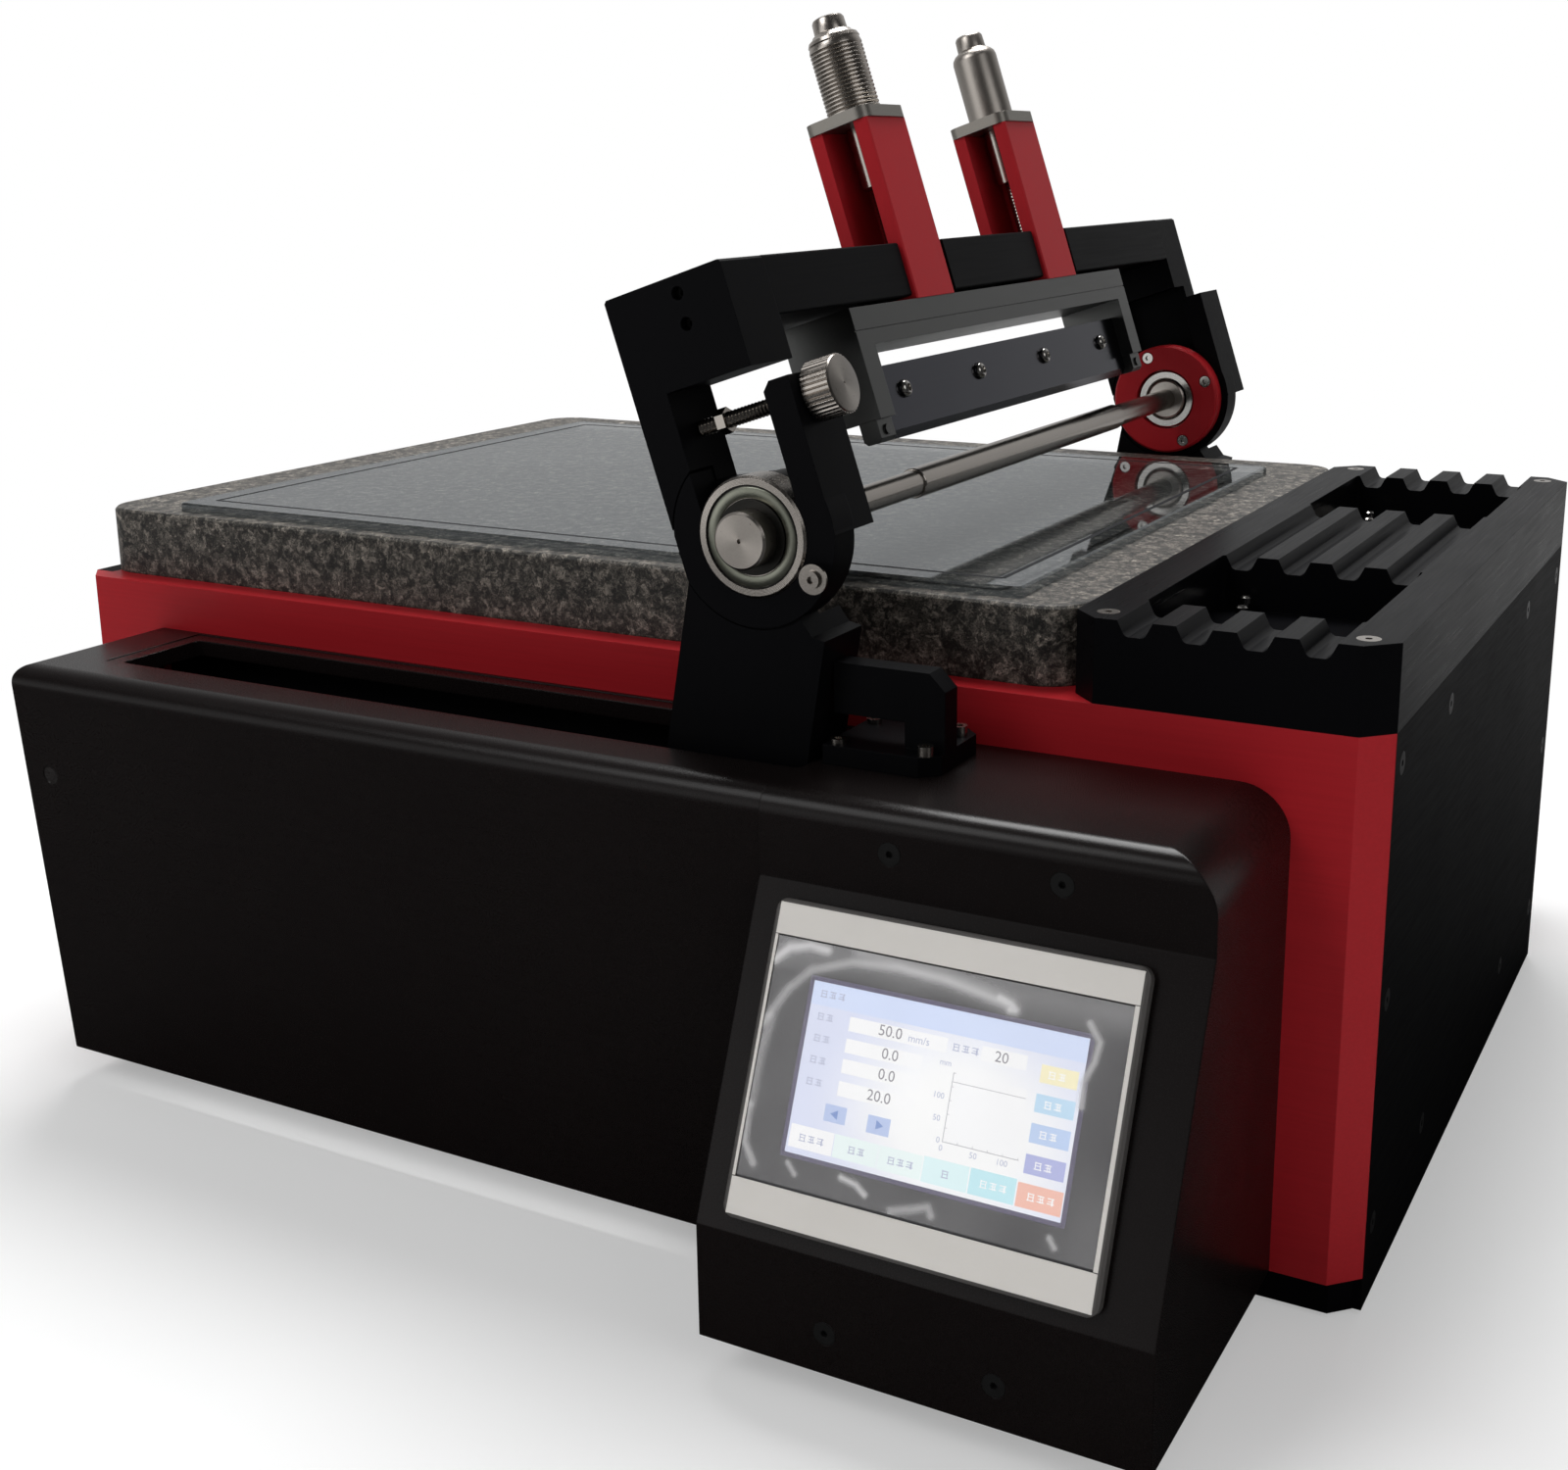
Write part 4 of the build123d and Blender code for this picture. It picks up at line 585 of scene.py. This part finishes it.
# Creases of the film over the glass, which lift it and carry its painted highlights: strength, half width,
# then points along it, in millimetres.
FILM_CREASES_AND_HIGHLIGHTS = (
    (0.95, 1.5, (-61.0, 31.5), (-56.3, 36.0), (-49.1, 38.0), (-42.8, 37.6)),
    (0.42, 1.4, (-61.0, 11.0), (-54.5, 22.6), (-47.3, 30.3), (-33.5, 35.2), (-16.8, 36.6),
     (0.0, 35.6), (18.9, 32.8), (23.8, 30.8)),
    (0.30, 2.6, (-31.3, 39.0), (-17.1, 37.8), (-2.7, 37.2), (11.7, 34.8), (22.3, 32.4)),
    (0.55, 0.9, (18.0, 34.0), (22.0, 32.9), (23.8, 31.2), (21.8, 30.6)),
    (0.60, 1.0, (47.7, 31.8), (51.7, 27.0), (50.9, 20.8), (48.5, 14.2), (49.1, 7.2)),
    (0.50, 1.2, (-60.8, -15.6), (-60.2, -27.4), (-55.7, -33.2)),
    (0.85, 0.9, (-24.4, -30.6), (-19.0, -31.6), (-15.5, -33.9)),
    (0.40, 1.3, (-6.1, -36.6), (0.7, -34.6), (6.0, -32.6), (7.5, -34.8)),
    (0.50, 0.8, (-43.7, -30.2), (-40.5, -33.3)), (0.60, 0.8, (45.7, -32.1), (47.8, -34.6)),
    (0.30, 2.0, (-60.8, -15.0), (-60.6, -1.1), (-58.8, 12.9)),
)


def near_line(point, ends):
    """Distance of a point from a bent line."""
    best = 1e9
    for a, b in zip(ends, ends[1:]):
        a, b = Vector(a), Vector(b)
        along = max(0.0, min(1.0, (point - a).dot(b - a) / (b - a).length_squared))
        best = min(best, (point - a.lerp(b, along)).length)
    return best


def lettering(words, size, left, base, lift, name, finish, place):
    """Flat text as a thin mesh, in millimetres on the face of the panel."""
    curve = bpy.data.curves.new(name, "FONT")
    curve.body = words
    curve.size = size * 1.62 * MM
    curve.extrude = 0.02 * MM
    curve.resolution_u = 3
    holder = bpy.data.objects.new(name, curve)
    data = bpy.data.meshes.new_from_object(holder)
    mesh = bmesh.new()
    mesh.from_mesh(data)
    bpy.data.objects.remove(holder)
    bpy.data.meshes.remove(data)
    bmesh.ops.translate(mesh, vec=(left * MM, base * MM, lift * MM), verts=mesh.verts)
    return settle(mesh, name, "base", finish, place)


# The slope of the pod's face from upright, and how far the glass stands over its middle, in mm.
PANEL_SLOPE = radians(23.02)
GLASS_TOP = 0.8


def panel_place():
    """From a flat drawing of the touch panel, top up, to the slope of the pod."""
    slope = Matrix.Rotation(pi / 2 - PANEL_SLOPE, 4, "X")
    return Matrix.Translation(node_middle("hmi_glass")) @ slope



class COATER_OT_touch_panel(bpy.types.Operator):
    """Builds the face of the touch panel and its lit screen"""
    bl_idname = "coater.touch_panel"
    bl_label = "Touch panel"

    def execute(self, context):
        place = panel_place()
        for key, tone in SCREEN_COLOURS.items():
            finishes[key] = lit(key, tone)
        glow = finishes["screen_field"]
        x, y, z = glow.across(glow.stretched((1 / 0.050, 1 / 0.035, 1 / 0.035), (0, 0, 0),
                                             node_middle("hmi_glass") + Vector((0.012, 0, -0.006))))
        # Painted glare: the screen's field is washed to white towards its middle, as a bright screen
        # glares.
        haze = glow.node("MapRange", {"interpolation_type": "SMOOTHSTEP"},
                         {"Value": (x * x + z * z) ** 0.5, "From Min": 0.35, "From Max": 1.1})
        glow.set(emission_color=glow.blend(haze, (1.0, 1.0, 1.0), SCREEN_COLOURS["screen_field"]))
        face = bmesh.new()
        for y, depth in ((45.0, 10.4), (-44.4, 11.8)):
            bar(face, (124.6 * MM, depth * MM, 0.3 * MM), (0, y * MM, 1.3 * MM), 0.12 * MM, 1)
        for x, width in ((-61.7, 1.2), (61.5, 1.6)):
            bar(face, (width * MM, 78 * MM, 0.3 * MM), (x * MM, 0.7 * MM, 1.3 * MM), 0.1 * MM, 1)
        settle(face, "bezel_face", "base", "bezel", place)

        rim = bmesh.new()
        for x, y, w, h in ((1.45, 28.1, 96.6, 1.5), (1.45, -27.8, 96.6, 1.5), (-46.3, 0.15, 1.5, 56),
                           (49.2, 0.15, 1.5, 56)):
            bar(rim, (w * MM, h * MM, 0.03 * MM), (x * MM, y * MM, (GLASS_TOP + 0.015) * MM))
        finishes["screen_rim"] = moulded("screen_rim", (0.12, 0.10, 0.20), (0.16, 0.14, 0.25), 0.3)
        settle(rim, "screen_rim", "base", "screen_rim", place)

        fields = {}
        for order, (key, left, right, low, high) in enumerate(SCREEN_FIELDS):
            mesh = fields.setdefault(key, bmesh.new())
            lift = GLASS_TOP + 0.02 + (0.03 if order else 0) + (0.03 if order > 1 else 0)
            bar(mesh, ((right - left) * MM, (high - low) * MM, 0.03 * MM),
                ((left + right) / 2 * MM, (low + high) / 2 * MM, lift * MM))
        lift = GLASS_TOP + 0.12
        for order, (key, left, middle, count) in enumerate(SCREEN_WORDS):
            mesh = fields.setdefault(key, bmesh.new())
            for i in range(count):
                x = left + i * 3.2
                kind = (order * 3 + i) % 3
                for dx, dy, w, h in ((1.1, 0.9, 2.2, 0.3), (1.1, -1.0 + kind * 0.2, 2.4, 0.3),
                                     (0.3 + kind * 0.7, 0, 0.3, 2.3), (1.9 - kind * 0.2, -0.2, 0.3, 1.7),
                                     (1.1, 0.05, 1.7, 0.25)):
                    bar(mesh, (w * MM, h * MM, 0.03 * MM), ((x + dx) * MM, (middle + dy) * MM, lift * MM))
        plot = fields.setdefault("screen_line", bmesh.new())
        for x, y, w, h in ((7.1, -1.9, 0.25, 21.2), (19.8, -12.4, 25.2, 0.25), (19.4, 5.9, 24.2, 0.2)):
            bar(plot, (w * MM, h * MM, 0.03 * MM), (x * MM, y * MM, lift * MM))
        for i in range(5):
            bar(plot, (0.7 * MM, 0.2 * MM, 0.03 * MM), (7.5 * MM, (-8.2 + i * 4.2) * MM, lift * MM))
            bar(plot, (0.2 * MM, 0.7 * MM, 0.03 * MM), ((12.1 + i * 5) * MM, -12.0 * MM, lift * MM))
        marks = fields.setdefault("screen_mark", bmesh.new())
        for x, way in ((-30.2, pi / 2), (-14.9, -pi / 2)):
            bmesh.ops.create_cone(marks, cap_ends=True, segments=3, radius1=1.7 * MM,
                                  radius2=1.7 * MM, depth=0.03 * MM,
                                  matrix=Matrix.Translation((x * MM, -12.3 * MM, lift * MM))
                                  @ Matrix.Rotation(way, 4, "Z"))
        for key, mesh in fields.items():
            settle(mesh, key, "base", key, place)
        for i, (words, left, base, height) in enumerate(SCREEN_NUMBERS):
            key = "screen_ink" if height > 2.5 else "screen_label"
            lettering(words, height, left, base, lift, "screen_number_%d" % i, key, place)
        return {"FINISHED"}


class COATER_OT_film(bpy.types.Operator):
    """Lays the creased protective film over the glass of the touch panel, with painted highlights along
    its creases
    """
    bl_idname = "coater.film"
    bl_label = "Protective film"

    def execute(self, context):
        mesh = bmesh.new()
        bmesh.ops.create_grid(mesh, x_segments=200, y_segments=126, size=0.5)
        crease = mesh.verts.layers.float.new("crease")
        for vert in mesh.verts:
            x, y = vert.co.x * 122.4, 0.8 + vert.co.y * 77.0
            value = sum(force * 2.718 ** -((near_line(Vector((x, y)), ends) / width) ** 2)
                        for force, width, *ends in FILM_CREASES_AND_HIGHLIGHTS)
            # Painted highlight along the creases, and painted sheen that makes the film whiter towards the
            # top of the glass.
            painted_sheen_top = max(0.0, min(1.0, (y - 28) / 8))
            vert[crease] = min(1.0, value) + painted_sheen_top * 0.16
            vert.co = (x * MM, y * MM, (1.02 + 0.2 * min(1.0, value)) * MM)
        bmesh.ops.solidify(mesh, geom=mesh.faces, thickness=0.04 * MM)
        settle(mesh, "protective_film", "base", "film", panel_place(), 60)
        return {"FINISHED"}


# ---------------------------------------------------------------- turned pieces
class COATER_OT_micrometers(bpy.types.Operator):
    """Turns the two micrometer thimbles, and the noses and screws below them"""
    bl_idname = "coater.micrometers"
    bl_label = "Micrometers"

    def execute(self, context):
        pitch = context.scene.coater_sizes.rib_pitch / MM
        ribbed = [(0, 145.5), (10.6, 145.5)]
        count = int(28 / pitch)
        for i in range(count):
            w = 146 + i * pitch
            ribbed += [(10.15, w), (10.7, w + pitch * 0.35), (10.7, w + pitch * 0.65)]
        ribbed += [(10.2, 174.4), (10.5, 175.0), (9.9, 176.4), (8.3, 177.4), (7.8, 178.2), (6.7, 178.8),
                   (6.5, 183.4), (5.9, 184.4), (5.0, 184.8), (3.4, 184.9), (3.0, 184.5), (0, 184.5)]
        plain = [(0, 145.5), (10.0, 145.5), (10.0, 173.2), (9.6, 175.0), (8.3, 176.6), (6.9, 177.4),
                 (6.4, 178.0), (6.2, 183.2), (5.6, 184.2), (4.9, 184.6), (3.4, 184.7), (3.0, 184.3),
                 (0, 184.3)]
        for node, body, profile, finish in (
                ("near_thimble", "near_micrometer", ribbed, "near_thimble_steel"),
                ("far_thimble", "far_micrometer", plain, "thimble_steel")):
            low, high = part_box(node)
            y = (low[1] + high[1]) / 2
            place = lean_turn @ Matrix.Translation((SPINDLE, y, 0))
            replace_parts(spun_piece(node + "_turned", body, finish, profile, place, 96), node)
            mesh = bmesh.new()
            tapped_rod(mesh, 2.3 * MM, 83.1 * MM, 145.5 * MM, 1.5 * MM, 0.4 * MM, 24)
            settle(mesh, node + "_screw", body, "steel_screw", place, 30)
            nose = ((0, 116), (4.7, 116), (5.2, 116.5), (5.2, 140.4), (0, 140.4))
            spun_piece(node + "_nose", "blade_unit", "steel_screw", nose, place)
        return {"FINISHED"}


class COATER_OT_tilt_knob(bpy.types.Operator):
    """Makes the knurled tilt knob and its threaded stud"""
    bl_idname = "coater.tilt_knob"
    bl_label = "Tilt knob"

    def execute(self, context):
        count = context.scene.coater_sizes.knurl_count
        onto_x = Matrix.Rotation(pi / 2, 4, "Y")
        place = lean_turn @ Matrix.Translation((0, KNOB_SIDE, KNOB_HEIGHT)) @ onto_x
        low, high, radius = 31.4 * MM, 42.9 * MM, 10.3 * MM
        mesh = bmesh.new()
        bmesh.ops.create_cone(mesh, cap_ends=True, segments=count * 4, radius1=radius, radius2=radius,
                              depth=high - low - 1.2 * MM,
                              matrix=Matrix.Translation((0, 0, (low + high) / 2)))
        for vert in mesh.verts:
            step = round((atan2(vert.co.y, vert.co.x) % (2 * pi)) / (pi / 2) * count)
            if step % 4 == 0:
                vert.co.xy *= 1 - 0.045
        knurl = settle(mesh, "knob_knurl", "knob", "knob_steel", place, 20)
        mesh = bmesh.new()
        lathe(mesh, [(0, low), (8.9 * MM, low), (9.5 * MM, low + 0.3 * MM), (9.5 * MM, high - 0.9 * MM),
                     (10.0 * MM, high - 0.6 * MM), (9.7 * MM, high - 0.15 * MM), (9.3 * MM, high),
                     (0.5 * MM, high), (0, high - 0.3 * MM)], 96)
        settle(mesh, "knob_face", "knob", "knob_face", place, 30)
        mesh = bmesh.new()
        tapped_rod(mesh, 2.9 * MM, -16.1 * MM, 20.1 * MM, 1.45 * MM, 0.55 * MM, 32)
        settle(mesh, "knob_stud", "knob", "steel_screw", place, 30)
        shank = ((0, 20), (2, 20), (2, 31.6), (0, 31.6))
        spun_piece("knob_shank", "knob", "steel_screw", shank, place, 24)
        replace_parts(knurl, "tilt_knob")
        mesh = bmesh.new()
        tapped_rod(mesh, 2.08 * MM, 0, 21 * MM, 1.0 * MM, 0.2 * MM, 24)
        low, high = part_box("home_stop_screws")
        stop = Matrix.Translation((low[0] + 0.5 * MM, -216.75 * MM, 214 * MM)) @ onto_x
        settle(mesh, "stop_thread", "base", "steel_screw", stop, 30)
        return {"FINISHED"}


class COATER_OT_small_parts(bpy.types.Operator):
    """Makes the glass's border, the blade's domed screws, the tray's pins and the bearings' rings"""
    bl_idname = "coater.small_parts"
    bl_label = "Small parts"

    def execute(self, context):
        low, high = (Vector(c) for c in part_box("glass_platen"))
        inset = context.scene.coater_sizes.border_inset
        x0, x1 = low.x + inset, high.x - inset
        y0, y1 = low.y + inset, high.y - inset
        wide = 2.0 * MM
        mesh = bmesh.new()
        for x, y, w, h in (((x0 + x1) / 2, y0, x1 - x0, wide), ((x0 + x1) / 2, y1, x1 - x0, wide),
                           (x0, (y0 + y1) / 2, wide, y1 - y0), (x1, (y0 + y1) / 2, wide, y1 - y0)):
            bar(mesh, (w, h, 0.04 * MM), (x, y, high.z + 0.03 * MM))
        settle(mesh, "glass_border", "base", "gasket")

        mesh = bmesh.new()
        for i in range(4):
            start = len(mesh.verts)
            lathe(mesh, [(r * MM, h * MM) for r, h in (
                (0, 0), (3.3, 0), (3.5, 0.3), (3.45, 1.0), (3.1, 1.7), (2.4, 2.25), (1.55, 2.5),
                (1.45, 2.3), (1.4, 1.2), (0, 1.2))], 40)
            mesh.verts.ensure_lookup_table()
            made = mesh.verts[start:]
            bmesh.ops.transform(mesh, verts=made, matrix=Matrix.Translation(
                (13.7 * MM, (-14 + (i - 1.5) * 70) * MM, 36 * MM)) @ Matrix.Rotation(pi / 2, 4, "Y"))
        screws = settle(mesh, "blade_dome_screws", "blade_unit", "chrome", lean_turn, 40)
        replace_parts(screws, "blade_screws")

        towards_front = Matrix.Rotation(pi / 2, 4, "X")
        far_side = lean_turn @ Matrix.Translation((0, 203 * MM, 0)) @ towards_front
        near_side = lean_turn @ Matrix.Translation((0, -231.25 * MM, 0)) @ towards_front
        collar = ((10.6, 0), (10.6, 5.6), (11.2, 6.2), (14.2, 6.2), (15.0, 5.4), (15.0, 0))
        spun_piece("far_bearing_collar", "bridge", "chrome", collar, far_side, 72)

        pocket_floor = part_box("bar_tray")[1][2] - 21 * MM
        pin = ((0, 0), (1.2, 0), (1.2, 4.4), (2.3, 4.4), (2.3, 6.4), (1.6, 7), (0, 7))
        mesh = bmesh.new()
        for x, y in ((213.4, -69), (216.7, -86), (212.6, 136), (216.0, 119)):
            start = len(mesh.verts)
            lathe(mesh, [(r * MM, h * MM) for r, h in pin], 24)
            mesh.verts.ensure_lookup_table()
            bmesh.ops.translate(mesh, verts=mesh.verts[start:], vec=(x * MM, y * MM, pocket_floor))
        settle(mesh, "pocket_pins", "base", "chrome", None, 30)

        shield = ((13.4, 0), (13.4, 0.35), (14.0, 0.6), (16.6, 0.6), (17.2, 0.3), (17.2, 0))
        groove = ((17.25, 0), (17.25, 0.05), (17.95, 0.05), (17.95, 0))
        for name, finish, profile in (("near_bearing_shield", "bearing_shield", shield),
                                      ("near_bearing_groove", "bearing_painted_shade", groove)):
            spun_piece(name, "carriage", finish, profile, near_side, 96)
        return {"FINISHED"}


# The way from the coater to the bright window that its metal mirrors, and how much the dark front of
# the room turns to its right-hand side.
WINDOW = (-0.54, -0.84)
ROOM_TURN = -0.55


class COATER_OT_stage(bpy.types.Operator):
    """Lays the floor and the soft lamps, and sets the camera"""
    bl_idname = "coater.stage"
    bl_label = "Stage, light and camera"

    def execute(self, context):
        scene = context.scene
        scene.view_settings.view_transform = "Standard"
        floor = bmesh.new()
        bmesh.ops.create_grid(floor, x_segments=8, y_segments=8, size=6)
        data = bpy.data.meshes.new("floor")
        floor.to_mesh(data)
        floor.free()
        ground = bpy.data.objects.new("floor", data)
        scene.collection.objects.link(ground)
        pale = Finish("pale_floor", 0, roughness=0.9, specular_ior_level=0.1)
        x, y, z = pale.across()
        across = x * -WINDOW[1] + y * WINDOW[0]
        toward = x * WINDOW[0] + y * WINDOW[1] - abs(across) * 0.6
        behind = pale.node("MapRange", {"interpolation_type": "SMOOTHSTEP"},
                           {"Value": y + x * ROOM_TURN, "From Min": -0.2, "From Max": 1.2, "To Min": 0.03,
                            "To Max": 0.3})
        away = (x * x + y * y) ** 0.5
        fade = pale.node("MapRange", {"interpolation_type": "SMOOTHSTEP"},
                         {"Value": away, "From Min": 0.30, "From Max": 0.85})
        rays = pale.add("LightPath")
        gloss = Wire(pale, rays.outputs["Is Glossy Ray"])
        seen = Wire(pale, rays.outputs["Is Camera Ray"]) + Wire(pale, rays.outputs["Is Transmission Ray"])
        tone = pale.blend(pale.noise(2.0, None, 2), (0.86, 0.86, 0.86), (0.90, 0.90, 0.90))
        pale.set(base_color=pale.blend(gloss * (1 - behind), tone, (0.02, 0.02, 0.02)))
        white = pale.add("Emission")
        mix = pale.add("MixShader")
        front = pale.node("MapRange", {"interpolation_type": "SMOOTHSTEP"},
                          {"Value": toward, "From Min": 1.0, "From Max": 1.8})
        pale.feed(mix.inputs[0], (0.35 + fade * 0.65) * seen + gloss * (fade * behind + front))
        pale.tree.links.new(pale.surface.outputs[0], mix.inputs[1])
        pale.tree.links.new(white.outputs[0], mix.inputs[2])
        pale.tree.links.new(mix.outputs[0], pale.end.inputs["Surface"])
        data.materials.append(pale.material)
        scene.world = studio_world()

        for name, at, aim, size, power in (
                ("key", (-0.9, -1.6, 1.9), (-0.05, 0, 0.2), 1.2, 15),
                ("fill", (1.9, -0.8, 1.3), (0.1, 0, 0.15), 1.4, 4.5),
                ("top", (-0.3, 0.7, 2.1), (0, 0, 0.2), 1.3, 55)):
            lamp = bpy.data.lights.new(name, "AREA")
            lamp.shape = "DISK"
            lamp.size = size
            lamp.energy = power
            holder = bpy.data.objects.new(name, lamp)
            holder.matrix_world = aimed(at, aim)
            scene.collection.objects.link(holder)

        yaw, pitch, roll = radians(28.21), radians(13.95), radians(-0.49)
        ahead = Vector((-sin(yaw) * cos(pitch), cos(yaw) * cos(pitch), -sin(pitch)))
        level_right = Vector((cos(yaw), sin(yaw), 0))
        level_up = level_right.cross(ahead)
        right = level_right * cos(roll) + level_up * sin(roll)
        up = level_up * cos(roll) - level_right * sin(roll)
        turn = Matrix((right, up, -ahead)).transposed().to_4x4()
        lens = bpy.data.cameras.new("camera")
        lens.sensor_width = 36
        lens.lens = 36 * 1970.76 / 1600
        lens.shift_x = (800 - 855.96) / 1600
        lens.shift_y = (655.32 - 750) / 1600
        lens.clip_start = 0.01
        camera = bpy.data.objects.new("camera", lens)
        camera.matrix_world = Matrix.Translation((0.41788, -0.78225, 0.38914)) @ turn
        scene.collection.objects.link(camera)
        scene.camera = camera
        return {"FINISHED"}


def studio_world():
    """White all round for the camera; for gloss, a white room whose near side is dark."""
    world = bpy.data.worlds.new("studio")
    world.use_nodes = True
    tree = world.node_tree
    tree.nodes.clear()
    end = tree.nodes.new("ShaderNodeOutputWorld")
    sky = tree.nodes.new("ShaderNodeBackground")
    sky.inputs["Color"].default_value = (1, 1, 1, 1)
    tree.links.new(sky.outputs[0], end.inputs["Surface"])
    path = tree.nodes.new("ShaderNodeLightPath")
    place = tree.nodes.new("ShaderNodeTexCoord")
    split = tree.nodes.new("ShaderNodeSeparateXYZ")
    tree.links.new(place.outputs["Generated"], split.inputs[0])

    def level(source, low, high, to_low, to_high):
        made = tree.nodes.new("ShaderNodeMapRange")
        made.interpolation_type = "SMOOTHSTEP"
        tree.links.new(source, made.inputs["Value"])
        for key, value in (("From Min", low), ("From Max", high), ("To Min", to_low), ("To Max", to_high)):
            made.inputs[key].default_value = value
        return made

    lean = tree.nodes.new("ShaderNodeMath")
    lean.operation = "MULTIPLY_ADD"
    tree.links.new(split.outputs["X"], lean.inputs[0])
    lean.inputs[1].default_value = ROOM_TURN
    tree.links.new(split.outputs["Y"], lean.inputs[2])
    room = level(lean.outputs[0], -0.20, 1.0, 0.03, 0.50)
    toward = tree.nodes.new("ShaderNodeVectorMath")
    toward.operation = "DOT_PRODUCT"
    tree.links.new(place.outputs["Generated"], toward.inputs[0])
    toward.inputs[1].default_value = (*WINDOW, 0.04)
    window = level(toward.outputs["Value"], 0.90, 0.975, 0.0, 1.1)
    both = tree.nodes.new("ShaderNodeMath")
    tree.links.new(room.outputs[0], both.inputs[0])
    tree.links.new(window.outputs[0], both.inputs[1])
    gloss = level(path.outputs["Is Glossy Ray"], 0, 1, 0.26, 1.0)
    tree.links.new(both.outputs[0], gloss.inputs["To Max"])
    shown = level(path.outputs["Is Camera Ray"], 0, 1, 0.0, 1.0)
    tree.links.new(gloss.outputs[0], shown.inputs["To Min"])
    clear = level(path.outputs["Is Transmission Ray"], 0, 1, 0.0, 1.0)
    tree.links.new(shown.outputs[0], clear.inputs["To Min"])
    tree.links.new(clear.outputs[0], sky.inputs["Strength"])
    return world


def aimed(at, aim):
    """A place at one point, turned so that its -Z axis looks at another."""
    turn = (Vector(aim) - Vector(at)).to_track_quat("-Z", "Y").to_matrix().to_4x4()
    return Matrix.Translation(at) @ turn


class COATER_PT_panel(bpy.types.Panel):
    """Lists the coater's colours, sizes and steps"""
    bl_label = "Film coater"
    bl_idname = "COATER_PT_panel"
    bl_space_type = "VIEW_3D"
    bl_region_type = "UI"
    bl_category = "Film coater"

    def draw(self, context):
        for group in (context.scene.coater_colours, context.scene.coater_sizes):
            for key in group.__annotations__:
                self.layout.prop(group, key)
        for step in STEPS:
            self.layout.operator(step.bl_idname)


STEPS = (COATER_OT_finishes, COATER_OT_stage, COATER_OT_dress, COATER_OT_touch_panel, COATER_OT_film,
         COATER_OT_micrometers, COATER_OT_tilt_knob, COATER_OT_small_parts)
GROUPS = (CoaterColours, CoaterSizes)


def register():
    for kind in GROUPS + STEPS + (COATER_PT_panel,):
        bpy.utils.register_class(kind)
    bpy.types.Scene.coater_colours = PointerProperty(type=CoaterColours)
    bpy.types.Scene.coater_sizes = PointerProperty(type=CoaterSizes)


def unregister():
    del bpy.types.Scene.coater_sizes
    del bpy.types.Scene.coater_colours
    for kind in reversed(GROUPS + STEPS + (COATER_PT_panel,)):
        bpy.utils.unregister_class(kind)


def main():
    register()
    bpy.ops.coater.finishes()
    bpy.ops.coater.stage()
    bpy.ops.coater.dress()
    bpy.ops.coater.touch_panel()
    bpy.ops.coater.film()
    bpy.ops.coater.micrometers()
    bpy.ops.coater.tilt_knob()
    bpy.ops.coater.small_parts()


if __name__ == "__main__":
    main()
